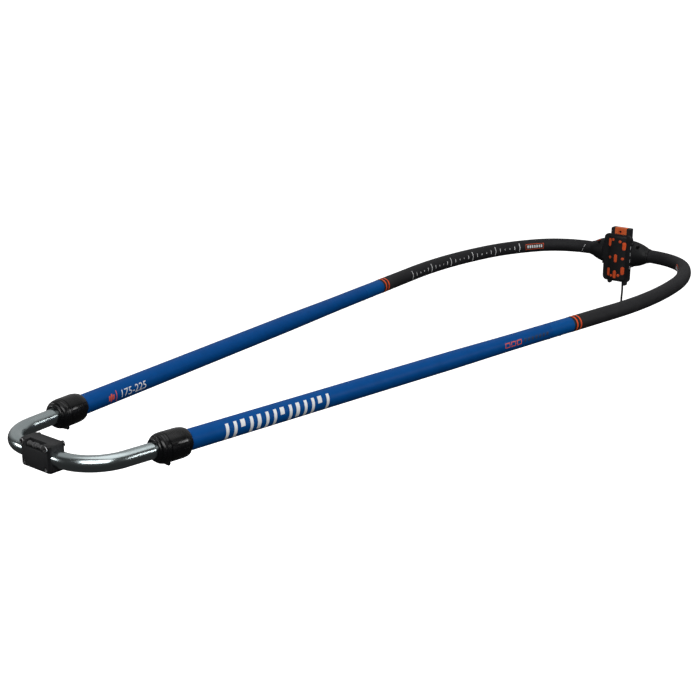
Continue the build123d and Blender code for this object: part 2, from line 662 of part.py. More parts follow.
def head_bolts():
    """Four clamp bolts with socket heads."""
    bolts = []
    for x, z in bolt_places():
        seat = FRONT_Y + BOLT_SEAT
        top = seat + BOLT_HEAD_HEIGHT
        head = cylinder_between((x, seat, z), (x, top, z), BOLT_HEAD_R)
        shank = cylinder_between((x, FRONT_Y - 13.0, z), (x, seat + 0.1, z), BOLT_R)
        socket = Plane(origin=(x, top, z), z_dir=(0, -1, 0)) * RegularPolygon(1.5, 6)
        bolts.append(head + shank - extrude(socket, 2.0))
    return group(bolts)


def head_nuts():
    """Nuts caught in the head's rear half."""
    nuts = []
    for x, z in bolt_places():
        face = Plane(origin=(x, FRONT_Y - NUT_SEAT, z), z_dir=(0, -1, 0))
        ring = RegularPolygon(NUT_R, 6, major_radius=False) - Circle(BOLT_R + SLIP)
        nuts.append(extrude(face * ring, NUT_HEIGHT))
    return group(nuts)


def stud_outlines():
    """The studs' outlines on the pad's face: (x, z, width, height)."""
    pill, dot, middle = STUD_PILL, STUD_DOT, STUD_MIDDLE
    upper = [(-18.5, 25.5, pill), (-9.0, 33.5, dot), (9.5, 30.0, dot), (19.5, 19.5, pill)]
    centre = [(-16.2, middle + 0.2, dot), (0.0, middle - 0.5, pill), (17.5, middle, dot)]
    lower = [(-19.0, -48.0, pill), (-10.0, -56.0, dot), (-0.5, -52.0, pill), (9.0, -53.5, dot),
             (18.7, -41.5, pill)]
    return [(x, z, *size) for x, z, size in upper + centre + lower]


def stud_plug(x, z, width, height, depth):
    """Upright round-ended plug from ahead of the pad's face down to a depth in it."""
    ahead = 3.0
    plane = Plane(origin=(x, -ahead, z), x_dir=(1, 0, 0), z_dir=(0, 1, 0))
    outline = Circle(width / 2) if width == height else SlotOverall(height, width, rotation=90)
    return extrude(plane * outline, ahead + depth + pad_rim_depth(x))


def pad_studs():
    """Grip studs set into the pad, standing slightly proud of it."""
    domed = crown(PAD_FACE_RADIUS + STUD_PROUD)
    return group([stud_plug(*outline, STUD_DEPTH) & domed for outline in stud_outlines()])


def mast_pad():
    """Rubber pad that bears on the mast, with a pocket for each stud."""
    pad = pad_solid()
    gap = 0.03
    for x, z, width, height in stud_outlines():
        pad -= stud_plug(x, z, width + 2 * gap, height + 2 * gap, STUD_DEPTH + gap)
    return pad


def lever():
    """Clamp lever: a pocket for the catch, open aft and on top, on two outer arms."""
    aft, fore = LEVER_AFT_Y, LEVER_FRONT_Y
    half, pocket = LEVER_HALF_WIDTH, POCKET_HALF_WIDTH
    block = box_between((-half, aft, CAP_TOP + 1.2), (half, fore, LEVER_TOP))
    block = fillet(block.edges().filter_by(Axis.Y), 2.5)
    block -= box_between((-pocket, aft - 1, LEVER_FLOOR), (pocket, 30.0, LEVER_TOP + 1))
    for x in (-half, LEVER_ARM_X):
        arm = pivot_cylinder(x, x + LEVER_ARM_WIDTH, LEVER_ARM_R)
        arm += box_between((x, PIVOT_Y - LEVER_ARM_R, PIVOT_Z), (x + LEVER_ARM_WIDTH, PIVOT_Y + 1.0, 40))
        block += arm
    block -= pivot_cylinder(-30, 30, PIVOT_R + PRESS)
    return block - cylinder_between((0, SPRING_Y, 38.0), (0, SPRING_Y, LEVER_FLOOR + 1), 2.6)


def lever_pin():
    """Steel pivot of the lever, held in the cap's ears."""
    half = LEVER_HALF_WIDTH + 0.5
    return pivot_cylinder(-half, half, PIVOT_R)


def catch():
    """Sprung push catch in the lever's pocket, with a finger notch."""
    top = POCKET_HALF_WIDTH - 0.3
    body = box_between((-top, LEVER_AFT_Y + 0.4, CATCH_BOTTOM), (top, 29.6, CATCH_TOP))
    body = fillet(body.edges().filter_by(Axis.Y), 1.6)
    body -= cylinder_between((NOTCH_X, 10, NOTCH_Z), (NOTCH_X, NOTCH_Y, NOTCH_Z), NOTCH_R)
    return body - cylinder_between((0, SPRING_Y, CATCH_BOTTOM - 1), (0, SPRING_Y, CATCH_BOTTOM + 1.5), 2.4)


def catch_spring():
    """Short coil spring under the catch."""
    first, last = 38.5, CATCH_BOTTOM + 0.95
    pitch = (last - first) / 4
    turns = [Pos(0, SPRING_Y, first + i * pitch) * Torus(SPRING_R, SPRING_WIRE_R) for i in range(5)]
    posts = [cylinder_between((x, SPRING_Y, first), (x, SPRING_Y, last), 0.3) for x in (SPRING_R, -SPRING_R)]
    return merged(turns + posts)


# ---------------------------------------------------------------- clamp line

def line_radii():
    """Largest arc that each corner of the hanging line allows."""
    points = [Vector(*p) for p in LINE_ROUTE]
    radii = []
    for before, here, after in zip(points, points[1:], points[2:]):
        turn = math.radians((here - before).get_angle(after - here))
        shorter = min((here - before).length, (after - here).length)
        radii.append(0.45 * shorter / math.tan(turn / 2))
    return radii


def clamp_line():
    """The line's free tail, hanging from the head."""
    radii = line_radii()
    path = FilletPolyline(*LINE_ROUTE, radius=radii)
    first = Vector(*LINE_ROUTE[1]) - Vector(*LINE_ROUTE[0])
    start = Plane(origin=LINE_ROUTE[0], z_dir=first)
    cord = sweep(start * Circle(LINE_R), path=path)
    wanted = math.pi * LINE_R ** 2 * path.length
    print("line radii", [round(r, 1) for r in radii])
    print("line length", round(path.length, 1), "volume", round(cord.volume, 1), "wanted", round(wanted, 1))
    return cord


def line_knot():
    """Stopper knot at the line's end."""
    x, y, z = LINE_ROUTE[-1]
    knot = Pos(x, y, z - KNOT_LENGTH / 2) * Cylinder(KNOT_R, KNOT_LENGTH)
    return fillet(knot.edges(), 3.0)


def line_ferrule():
    """Steel ferrule that the line leaves the head by."""
    x, y, z = LINE_ROUTE[0]
    outer = cylinder_between((x, y, z + 0.18), (x, y, z + 0.18 - FERRULE_LENGTH), FERRULE_R)
    return outer - cylinder_between((x, y, z + 1), (x, y, z - FERRULE_LENGTH - 1), LINE_R + 0.08)


# ---------------------------------------------------------------- nodes

def both_sides(name, shape):
    """A right-hand piece and its left-hand twin."""
    return {name + "_right": shape, name + "_left": left_of(shape)}


def nodes():
    """Every sub-part by name."""
    made = {
        "front_tube": front_tube(), "grip_bands": grip_bands(), "arm_rivets": arm_rivets(),
        "collar_screws": collar_screws(), "clip_hinge_pins": clip_hinge_pins(),
        "tail_bow": tail_bow(), "tail_block_rear": block_half(True),
        "tail_block_front": block_half(False), "tail_screws": tail_screws(),
        "line_eyes": line_eyes(), "roller_right": roller(ROLLER_X), "roller_left": roller(-ROLLER_X),
        "roller_axle": roller_axle(), "head_body": head_body(), "head_cap": head_cap(),
        "tube_liner": tube_liner(), "head_bolts": head_bolts(), "head_nuts": head_nuts(),
        "mast_pad": mast_pad(), "pad_studs": pad_studs(), "lever": lever(), "lever_pin": lever_pin(),
        "catch": catch(), "catch_spring": catch_spring(), "clamp_line": clamp_line(),
        "line_knot": line_knot(), "line_ferrule": line_ferrule(),
    }
    for name, make in (("arm_tube", arm_tube), ("grip", grip), ("collar", collar_body),
                       ("collar_bush", collar_bush), ("collar_ring", collar_ring), ("clip", clip),
                       ("lock_pin", lock_pin), ("tail_leg", tail_leg), ("leg_glide", leg_glide)):
        made.update(both_sides(name, make()))
    return made


os.makedirs("parts", exist_ok=True)
for node_name, node_shape in nodes().items():
    export_step(node_shape, f"parts/{node_name}.step")
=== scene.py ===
"""A windsurfing wishbone boom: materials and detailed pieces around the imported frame. Metres, +Y forward."""
import math

import bmesh
import bpy
import numpy as np
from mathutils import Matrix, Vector


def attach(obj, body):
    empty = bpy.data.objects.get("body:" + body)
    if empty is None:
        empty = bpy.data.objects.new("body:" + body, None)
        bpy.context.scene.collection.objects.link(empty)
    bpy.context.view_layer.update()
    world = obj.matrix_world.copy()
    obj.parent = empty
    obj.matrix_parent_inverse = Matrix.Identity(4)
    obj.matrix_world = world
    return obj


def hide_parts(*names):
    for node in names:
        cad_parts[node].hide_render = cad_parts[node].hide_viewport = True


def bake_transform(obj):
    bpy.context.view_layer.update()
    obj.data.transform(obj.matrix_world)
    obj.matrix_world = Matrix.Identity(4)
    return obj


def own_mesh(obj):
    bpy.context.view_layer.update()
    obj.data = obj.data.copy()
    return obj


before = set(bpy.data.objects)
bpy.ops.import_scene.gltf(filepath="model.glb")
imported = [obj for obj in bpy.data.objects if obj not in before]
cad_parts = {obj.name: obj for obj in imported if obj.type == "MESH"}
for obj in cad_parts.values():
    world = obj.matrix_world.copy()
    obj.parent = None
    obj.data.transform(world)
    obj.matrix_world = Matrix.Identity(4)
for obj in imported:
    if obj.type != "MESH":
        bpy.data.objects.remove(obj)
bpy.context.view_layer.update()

# Plan of the boom, in metres, as the frame was designed
FRONT_Y = 0.025
FRONT_HALF = 0.078
BENDS = ((0.141, 59.0), (0.407, 21.0), (0.979, 17.1))  # radius, degrees
MOUTH_Y = -1.608
TAIL_Y = -1.723
TAIL_BEND_R = 0.070
ARM_ANGLE = math.radians(sum(turn for _, turn in BENDS) - 90.0)

ARM_R, NECK_R, GRIP_R, TAIL_R = 0.01675, 0.0155, 0.0157, 0.01275
GRIP_EDGE = 0.9886  # grip's rear edge, ahead of the collar's mouth along the arm
BRAID_TURNS, BRAID_STRANDS = 20.0, 4.0
TAIL_INSIDE = 0.004  # the drawn tail tube starts this far inside the collars' mouths
HINGE_PLACE, HINGE_DEPTH = 0.014, 0.0224  # hinge pin: along the arm from its mouth, and below its axis
RIDGE_ANGLES = (17.0, 20.0, 26.0, 28.2, 29.0, 31.4, 32.2, 36.0)  # edges of a collar's lip and groove
FLOOR_Z, FLOOR_SIZE, FLOOR_GLOW = -0.75, 80.0, 1.0
UP = Vector((0.0, 0.0, 1.0))

# Camera and lights: place, target, size, power
CAMERA_PLACE, CAMERA_TURN = (1.4970, -2.8293, 0.7077), (73.09, 0.0, 39.63)
CAMERA_LENS, CAMERA_SHIFT = 67.76, 0.0033
LIGHTS = (("key", (1.5, -3.1, 1.9), (0.0, -0.9, 0.0), (2.6, 1.6), 62.0),
          ("over", (0.2, -0.9, 2.9), (0.0, -0.9, 0.0), (2.2, 3.2), 22.0),
          ("side", (2.3, 0.1, 0.85), (-0.05, -1.6, 0.0), (1.1, 0.5), 16.0),
          ("front", (-1.6, -2.95, 0.30), (0.0, -1.7, 0.0), (0.75, 0.35), 7.0))
SKY_SIDE = (-0.45, 0.54, 0.71)  # the sky brightens towards this direction
SKY_RAMP = (("From Min", 0.45), ("From Max", 0.72), ("To Min", 0.035), ("To Max", 0.42))


# ------------ materials

class Look:
    """One node material, built up by short calls."""

    def __init__(self, name, colour, roughness, metallic=0.0, specular=0.5, coat=0.0, coat_roughness=0.1):
        self.material = bpy.data.materials.new(name)
        self.material.use_nodes = True
        self.tree = self.material.node_tree
        self.shader = self.tree.nodes["Principled BSDF"]
        self.set("Base Color", (*colour, 1.0))
        self.set("Roughness", roughness)
        self.set("Metallic", metallic)
        self.set("Specular IOR Level", specular)
        self.set("Coat Weight", coat)
        self.set("Coat Roughness", coat_roughness)
        self.colour = colour
        self.roughness = roughness
        self.normal = None

    def set(self, socket, value):
        self.shader.inputs[socket].default_value = value

    def node(self, kind, **inputs):
        """A node with its inputs given by name; a value that is a socket is linked."""
        made = self.tree.nodes.new("ShaderNode" + kind)
        for name, value in inputs.items():
            self.feed(made.inputs[name.replace("_", " ")], value)
        return made

    def feed(self, socket, value):
        if isinstance(value, bpy.types.NodeSocket):
            self.tree.links.new(value, socket)
        else:
            socket.default_value = value

    def place(self, kind="Object", scale=(1.0, 1.0, 1.0), turn=(0.0, 0.0, 0.0)):
        """Texture place: Object is the row frame in metres, UV is metres along a tube and turns round it."""
        coordinates = self.node("TexCoord")
        mapping = self.node("Mapping", Vector=coordinates.outputs[kind])
        mapping.inputs["Scale"].default_value = scale
        mapping.inputs["Rotation"].default_value = turn
        return mapping.outputs["Vector"]

    def noise(self, place, scale, detail=3.0, rough=0.55):
        made = self.node("TexNoise", Vector=place, Scale=scale, Detail=detail, Roughness=rough)
        return made.outputs["Fac"]

    def span(self, value, low, high, to_low=0.0, to_high=1.0):
        """Stretches value's low..high to to_low..to_high, clamped."""
        made = self.node("MapRange", Value=value)
        for name, number in (("From Min", low), ("From Max", high), ("To Min", to_low), ("To Max", to_high)):
            made.inputs[name].default_value = number
        return made.outputs["Result"]

    def math(self, operation, a, b=0.0):
        made = self.tree.nodes.new("ShaderNodeMath")
        made.operation = operation
        self.feed(made.inputs[0], a)
        self.feed(made.inputs[1], b)
        return made.outputs[0]

    def blend(self, a, share_a, b, share_b):
        """Weighted sum of two values."""
        return self.math("ADD", self.math("MULTIPLY", a, share_a), self.math("MULTIPLY", b, share_b))

    def tint(self, share, colour):
        """Mixes another colour over the base colour by share."""
        socket = self.shader.inputs["Base Color"]
        below = socket.links[0].from_socket if socket.links else None
        mix = self.tree.nodes.new("ShaderNodeMix")
        mix.data_type = "RGBA"
        self.feed(mix.inputs[0], share)
        self.feed(mix.inputs[6], below if below else (*self.colour, 1.0))
        self.feed(mix.inputs[7], (*colour, 1.0))
        self.tree.links.new(mix.outputs[2], socket)

    def stain(self, value, low, high, most, colour):
        """Tints where value lies above low, and by most from high up."""
        self.tint(self.span(value, low, high, 0.0, most), colour)

    def rough(self, value, low, high):
        """Roughness from low to high as value goes from 0 to 1."""
        self.tree.links.new(self.span(value, 0.0, 1.0, low, high), self.shader.inputs["Roughness"])

    def bump(self, height, depth, strength=1.0):
        """Adds relief of that depth in metres on top of what is there."""
        made = self.node("Bump", Height=height, Distance=depth, Strength=strength)
        if self.normal is not None:
            self.tree.links.new(self.normal, made.inputs["Normal"])
        self.normal = made.outputs["Normal"]
        self.tree.links.new(self.normal, self.shader.inputs["Normal"])

    def soft_edges(self, radius):
        """Rounds the shading of sharp edges."""
        made = self.node("Bevel", Radius=radius)
        made.samples = 6
        self.normal = made.outputs["Normal"]
        self.tree.links.new(self.normal, self.shader.inputs["Normal"])


def toned(colour, factor, lift=0.0):
    """A lighter or darker colour."""
    return tuple(min(1.0, c * factor + lift) for c in colour)


def lacquer(name, colour):
    """Satin lacquer on a tube: faint orange peel, cloudy colour and fine scuffs along the tube."""
    look = Look(name, colour, 0.50, specular=0.09)
    place = look.place()
    cloud = look.noise(place, 38.0, 4.0, 0.6)
    look.stain(cloud, 0.35, 0.75, 0.35, toned(colour, 0.66))
    fleck = look.noise(place, 900.0, 2.0, 0.6)
    look.stain(fleck, 0.62, 0.74, 0.25, toned(colour, 1.5, 0.002))
    scuffs = look.noise(look.place("UV", (9.0, 160.0, 1.0)), 6.0, 5.0, 0.7)
    marks = look.span(scuffs, 0.60, 0.72)
    look.tint(look.math("MULTIPLY", marks, 0.18), toned(colour, 1.3, 0.03))
    look.rough(look.blend(cloud, 0.5, marks, 0.5), 0.40, 0.60)
    look.bump(look.noise(place, 1500.0, 2.0), 0.00003, 0.5)
    look.bump(look.noise(place, 260.0, 2.0), 0.00006, 0.4)
    return look.material


def foam(name="grip_foam"):
    """Moulded foam: a fine pebbled skin, chalky high spots, and paler rubbed patches where hands go."""
    look = Look(name, (0.0105, 0.0108, 0.0125), 0.66, specular=0.25)
    place = look.place()
    cells = look.node("TexVoronoi", Vector=place, Scale=1150.0)
    cells.feature = "SMOOTH_F1"
    pebble = cells.outputs["Distance"]
    look.stain(pebble, 0.25, 0.65, 0.6, (0.024, 0.024, 0.027))
    cloud = look.noise(place, 21.0, 4.0, 0.6)
    look.stain(cloud, 0.48, 0.78, 0.6, (0.030, 0.030, 0.033))
    dust = look.noise(place, 620.0, 3.0, 0.7)
    look.stain(dust, 0.66, 0.78, 0.4, (0.07, 0.07, 0.075))
    look.rough(cloud, 0.50, 0.78)
    look.bump(pebble, 0.00022, 0.75)
    look.bump(look.noise(place, 130.0, 3.0), 0.00025, 0.35)
    return look.material


def polished_tube(name="tail_alloy"):
    """Drawn and polished alloy: fine lines along the tube, faint haze and a few scratches."""
    look = Look(name, (0.50, 0.57, 0.58), 0.2, metallic=1.0)
    lines = look.noise(look.place("UV", (4.0, 260.0, 1.0)), 5.0, 4.0, 0.65)
    haze = look.noise(look.place(), 30.0, 4.0, 0.65)
    look.stain(haze, 0.45, 0.8, 0.35, (0.42, 0.48, 0.50))
    look.stain(lines, 0.60, 0.75, 0.25, (0.74, 0.78, 0.80))
    look.rough(look.blend(lines, 0.45, haze, 0.55), 0.13, 0.30)
    look.bump(lines, 0.00003, 0.5)
    scratches = look.noise(look.place("UV", (30.0, 14.0, 1.0), (0.0, 0.0, 0.3)), 11.0, 6.0, 0.8)
    look.bump(look.span(scratches, 0.70, 0.72), 0.00002, 0.5)
    return look.material


def moulded(name, colour, grain=1400.0, roughness=(0.42, 0.60), specular=0.4, edge=0.0005):
    """Moulded plastic: fine spark texture, cloudy sheen and paler rubbed edges."""
    look = Look(name, colour, roughness[0], specular=specular)
    if edge:
        look.soft_edges(edge)
    place = look.place()
    cloud = look.noise(place, 60.0, 4.0, 0.6)
    fine = look.noise(place, grain, 2.0, 0.6)
    look.stain(cloud, 0.45, 0.8, 0.5, toned(colour, 1.55, 0.004))
    look.stain(fine, 0.62, 0.76, 0.35, toned(colour, 1.9, 0.012))
    worn = look.node("NewGeometry").outputs["Pointiness"]
    look.stain(worn, 0.54, 0.62, 0.45, toned(colour, 2.4, 0.03))
    look.rough(cloud, *roughness)
    look.bump(fine, 0.00006, 0.55)
    return look.material


def gloss(name, colour):
    """Glossy moulded shell with faint polishing swirls and dust."""
    look = Look(name, colour, 0.16, specular=0.38)
    place = look.place()
    swirl = look.noise(place, 90.0, 6.0, 0.75)
    look.rough(look.span(swirl, 0.35, 0.75), 0.20, 0.36)
    dust = look.noise(place, 800.0, 3.0, 0.7)
    look.stain(dust, 0.68, 0.80, 0.35, (0.09, 0.09, 0.095))
    look.bump(look.noise(place, 900.0, 3.0), 0.00002, 0.4)
    return look.material


def rubber(name, colour, lift=1.7):
    """Matt rubber with a pebbled skin and bloom."""
    look = Look(name, colour, 0.55, specular=0.35)
    place = look.place()
    bloom = look.noise(place, 75.0, 4.0, 0.65)
    fine = look.noise(place, 1700.0, 2.0, 0.6)
    look.stain(bloom, 0.42, 0.8, 0.5, toned(colour, lift, 0.004))
    look.rough(bloom, 0.45, 0.70)
    look.bump(fine, 0.00008, 0.55)
    look.bump(look.noise(place, 320.0, 3.0), 0.00010, 0.4)
    return look.material


def steel(name="steel", colour=(0.60, 0.60, 0.61)):
    """Steel with turned marks and light tarnish, stainless or blackened."""
    look = Look(name, colour, 0.30, metallic=1.0)
    look.soft_edges(0.0003)
    place = look.place()
    turned = look.noise(look.place("Object", (1.0, 12.0, 1.0)), 700.0, 3.0, 0.6)
    tarnish = look.noise(place, 240.0, 4.0, 0.65)
    look.stain(tarnish, 0.45, 0.8, 0.5, toned(colour, 0.6))
    look.rough(turned, 0.18, 0.42)
    look.bump(turned, 0.00003, 0.5)
    return look.material


def ink(name, colour, gone=0.16):
    """Screen-printed ink, a little uneven and rubbed through in flecks."""
    look = Look(name, colour, 0.45, specular=0.4)
    place = look.place()
    patch = look.noise(place, 500.0, 4.0, 0.7)
    look.stain(patch, 0.55, 0.8, gone * 2.0, toned(colour, 0.55))
    look.rough(patch, 0.35, 0.62)
    look.bump(look.noise(place, 1300.0, 2.0), 0.00003, 0.5)
    return look.material


def braid(name="line_black"):
    """Braided line: crossing strands worked in the line's own length and turn, with painted shade darkening
    the grooves between them.
    """
    look = Look(name, (0.012, 0.012, 0.013), 0.60, specular=0.35)
    place = look.place("UV", (1.0, 1.0, 1.0))
    split = look.node("SeparateXYZ", Vector=place)
    along = look.math("MULTIPLY", split.outputs["X"], BRAID_TURNS)
    around = look.math("MULTIPLY", split.outputs["Y"], BRAID_STRANDS)
    first = look.math("SINE", look.math("MULTIPLY", look.math("ADD", along, around), math.tau))
    second = look.math("SINE", look.math("MULTIPLY", look.math("SUBTRACT", along, around), math.tau))
    strands = look.span(look.math("MAXIMUM", first, second), -0.4, 1.0)
    # painted shade: the grooves between the strands are tinted towards black
    look.tint(look.span(strands, 0.0, 1.0, 0.55, 0.0), (0.002, 0.002, 0.002))
    fibres = look.noise(look.place(), 2600.0, 3.0, 0.7)
    look.stain(fibres, 0.58, 0.75, 0.5, (0.05, 0.05, 0.054))
    look.bump(strands, 0.00022, 0.8)
    look.bump(fibres, 0.00004, 0.6)
    return look.material


# ------------ plan of the tubes

def plan_runs():
    """Right half's centre line, from the front's middle to the mouth: (length, radius, start, heading)."""
    runs = [(FRONT_HALF, 0.0, Vector((0.0, FRONT_Y)), 0.0)]
    place, heading = Vector((FRONT_HALF, FRONT_Y)), 0.0
    for radius, turn in BENDS:
        runs.append((radius * math.radians(turn), radius, place.copy(), heading))
        after = heading + math.radians(turn)
        place += radius * Vector((math.sin(after) - math.sin(heading), math.cos(after) - math.cos(heading)))
        heading = after
    runs.append(((place.y - MOUTH_Y) / math.cos(ARM_ANGLE), 0.0, place.copy(), heading))
    return runs


RUNS = plan_runs()
MOUTH_S = sum(run[0] for run in RUNS)  # distance along the centre line at the collar's mouth


def plan_point(s):
    """Point and heading of the right half's centre line at a distance from the front's middle."""
    for length, radius, start, heading in RUNS[:-1]:
        if s <= length:
            break
        s -= length
    else:
        _, radius, start, heading = RUNS[-1]
    if radius == 0.0:
        return start + s * Vector((math.cos(heading), -math.sin(heading))), heading
    after = heading + s / radius
    step = Vector((math.sin(after) - math.sin(heading), math.cos(after) - math.cos(heading)))
    return start + radius * step, after


def plan_frame(s, side=1.0):
    """Centre, tangent (tailwards) and outward direction of an arm at distance s; side -1 is the left arm."""
    place, heading = plan_point(s)
    centre = Vector((side * place.x, place.y, 0.0))
    along = Vector((side * math.cos(heading), -math.sin(heading), 0.0))
    outward = Vector((side * math.sin(heading), math.cos(heading), 0.0))
    return centre, along, outward


def on_ring(centre, outward, radius, angle):
    """Point round a level axis; angle 0 faces outwards and 90 degrees up."""
    return centre + radius * (math.cos(angle) * outward + math.sin(angle) * UP)


def on_tube(s, angle, radius, side=1.0):
    """Point on a tube round the plan's line."""
    centre, _, outward = plan_frame(s, side)
    return on_ring(centre, outward, radius, angle)


# ------------ camera, floor and light

def placed(name, data):
    """New object in the scene."""
    made = bpy.data.objects.new(name, data)
    bpy.context.scene.collection.objects.link(made)
    return made


def make_camera():
    data = bpy.data.cameras.new("camera")
    data.sensor_width = 36.0
    data.lens = CAMERA_LENS
    data.shift_x = CAMERA_SHIFT
    data.clip_end = 200.0
    camera = placed("camera", data)
    camera.location = CAMERA_PLACE
    camera.rotation_euler = [math.radians(turn) for turn in CAMERA_TURN]
    bpy.context.scene.camera = camera


def area_light(name, place, target, size, power):
    data = bpy.data.lights.new(name, "AREA")
    data.shape = "RECTANGLE"
    data.size, data.size_y = size
    data.energy = power
    lamp = placed(name, data)
    lamp.location = place
    lamp.rotation_euler = (Vector(target) - Vector(place)).to_track_quat("-Z", "Y").to_euler()


def make_world():
    """Soft grey overhead and at the far side, dark from below and in front, white where it is seen."""
    world = bpy.data.worlds.new("studio")
    world.use_nodes = True
    nodes, links = world.node_tree.nodes, world.node_tree.links
    place = nodes.new("ShaderNodeTexCoord")
    across = nodes.new("ShaderNodeVectorMath")
    across.operation = "DOT_PRODUCT"
    across.inputs[1].default_value = SKY_SIDE
    links.new(place.outputs["Generated"], across.inputs[0])
    height = nodes.new("ShaderNodeMapRange")
    for name, number in SKY_RAMP:
        height.inputs[name].default_value = number
    links.new(across.outputs["Value"], height.inputs["Value"])
    seen = nodes.new("ShaderNodeLightPath")
    strength = nodes.new("ShaderNodeMix")
    links.new(seen.outputs["Is Camera Ray"], strength.inputs["Factor"])
    links.new(height.outputs["Result"], strength.inputs[2])
    strength.inputs[3].default_value = 1.0
    links.new(strength.outputs[0], nodes["Background"].inputs["Strength"])
    nodes["Background"].inputs["Color"].default_value = (1.0, 1.0, 1.0, 1.0)
    bpy.context.scene.world = world


def make_floor():
    """Pale floor well under the boom. It casts no light back up, so the tubes keep dark undersides."""
    bpy.ops.mesh.primitive_plane_add(size=FLOOR_SIZE, location=(0.0, 0.0, FLOOR_Z))
    floor = bpy.context.object
    floor.name = "floor"
    floor.visible_diffuse = False
    floor.visible_glossy = False
    look = Look("floor", (0.96, 0.96, 0.96), 0.9)
    look.set("Emission Color", (1.0, 1.0, 1.0, 1.0))
    look.set("Emission Strength", FLOOR_GLOW)
    floor.data.materials.append(look.material)


def make_lights():
    for light in LIGHTS:
        area_light(*light)


# ------------ meshes

def make_piece(name, verts, faces, look, body, nodes=(), uvs=None, sharp=35.0):
    """A closed mesh piece that rides on a body and stands for the CAD nodes named."""
    mesh = bpy.data.meshes.new(name)
    mesh.from_pydata([tuple(v) for v in verts], [], faces)
    if uvs is not None:
        layer = mesh.uv_layers.new(name="UVMap")
        layer.data.foreach_set("uv", np.array(uvs, np.float32).ravel())
    work = bmesh.new()
    work.from_mesh(mesh)
    bmesh.ops.recalc_face_normals(work, faces=work.faces)
    work.to_mesh(mesh)
    work.free()
    mesh.shade_smooth()
    mesh.set_sharp_from_angle(angle=math.radians(sharp))
    mesh.materials.append(look)
    piece = placed(name, mesh)
    if body:
        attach(piece, body)
    if nodes:
        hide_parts(*nodes)
    return piece


def round_edges(piece, width, segments=3, angle=32.0):
    """Small real rounds on a piece's sharp edges."""
    modifier = piece.modifiers.new("rounds", "BEVEL")
    modifier.width = width
    modifier.segments = segments
    modifier.limit_method = "ANGLE"
    modifier.angle_limit = math.radians(angle)
    modifier.harden_normals = True


def ring_points(centre, outward, radius, segments, dip=None):
    """Points round a level tube's axis, starting outwards and turning up."""
    points = []
    for j in range(segments):
        r = radius - (dip[1] if dip and j == dip[0] else 0.0)
        points.append(on_ring(centre, outward, r, math.tau * j / segments))
    return points


def swept(name, profile, frame_at, look, body, nodes=(), segments=64, dip=None, sharp=35.0):
    """A closed (distance, radius) profile carried round a line; UV is metres along and turns round."""
    verts, faces, uvs = [], [], []
    for distance, radius in profile:
        centre, outward = frame_at(distance)
        verts += ring_points(centre, outward, radius, segments, dip)
    count = len(profile)
    for i in range(count):
        after = (i + 1) % count
        here, there = i * segments, after * segments
        for j in range(segments):
            beside = (j + 1) % segments
            faces.append((here + j, here + beside, there + beside, there + j))
            u0, u1 = profile[i][0], profile[after][0]
            v0, v1 = j / segments, (j + 1) / segments
            uvs += [(u0, v0), (u0, v1), (u1, v1), (u1, v0)]
    return make_piece(name, verts, faces, look, body, nodes, uvs, sharp)


def wall(outer, bore):
    """Closed profile of a tube wall from its outer (distance, radius) points and its bore."""
    return list(outer) + [(distance, bore) for distance, _ in reversed(outer)]


def along_plan(side):
    """Frame function for a tube that follows the plan's line at distance s."""
    def frame_at(s):
        centre, _, outward = plan_frame(s, side)
        return centre, outward
    return frame_at


def along_arm(side):
    """Frame function for a piece round an arm, at a distance ahead of the collar's mouth."""
    def frame_at(distance):
        centre, _, outward = plan_frame(MOUTH_S - distance, side)
        return centre, outward
    return frame_at


def no_relief(distance, angle):
    """A surface left as it is."""
    return 0.0


def shell(name, stations, side, look, body, nodes=(), shares=None, relief=no_relief):
    """Plate round an arm. Stations: (distance, inner radius, outer radius, first angle, last angle)."""
    frame_at = along_arm(side)
    shares = shares or [j / 40.0 for j in range(41)]
    steps = len(shares) - 1
    verts, faces = [], []
    for distance, inner, outer, first, last in stations:
        centre, outward = frame_at(distance)
        for radius in (outer, inner):
            for share in shares:
                degrees = first + (last - first) * share
                r = radius + (relief(distance, degrees) if radius == outer else 0.0)
                verts.append(on_ring(centre, outward, r, math.radians(degrees)))
    row = 2 * (steps + 1)
    for i in range(len(stations) - 1):
        for j in range(steps):
            a, b = i * row + j, (i + 1) * row + j
            faces += [(a, a + 1, b + 1, b), (a + steps + 1, b + steps + 1, b + steps + 2, a + steps + 2)]
        for j in (0, steps):
            a, b = i * row + j, (i + 1) * row + j
            faces.append((a, b, b + steps + 1, a + steps + 1))
    for i in (0, len(stations) - 1):
        for j in range(steps):
            a = i * row + j
            faces.append((a, a + 1, a + steps + 2, a + steps + 1))
    return make_piece(name, verts, faces, look, body, nodes)


def mesh_of(curve):
    """The mesh of a curve or text, ready to edit."""
    source = placed(curve.name + "_source", curve)
    work = bmesh.new()
    work.from_mesh(bpy.data.meshes.new_from_object(source))
    bpy.data.objects.remove(source)
    return work


def lists_of(work, weld):
    """Vertices and faces of an edited mesh, with points nearer than weld joined."""
    bmesh.ops.remove_doubles(work, verts=work.verts, dist=weld)
    work.verts.index_update()
    verts = [v.co.copy() for v in work.verts]
    faces = [tuple(v.index for v in f.verts) for f in work.faces]
    work.free()
    return verts, faces


def steps_between(low, high, step):
    """Evenly spaced numbers from low to high, both included, about step apart."""
    count = max(1, round(abs(high - low) / step))
    return [low + (high - low) * i / count for i in range(count + 1)]


# ------------ tubes, grips and bands

SIDES = ((1.0, "right"), (-1.0, "left"))
TAPER = (0.615, 0.836)  # ahead of the mouth: where the arm starts and ends necking down
FILM_EDGE = 0.920  # edge of the arm's outer film, a low step just behind the grip
BAND_OFFSETS, BAND_WIDTH = (0.0070, 0.0186), 0.004


def arm_radius(distance):
    """Outer radius of an arm at a distance ahead of its collar's mouth."""
    share = min(1.0, max(0.0, (distance - TAPER[0]) / (TAPER[1] - TAPER[0])))
    ease = share * share * (3.0 - 2.0 * share)
    return ARM_R + (NECK_R - ARM_R) * ease


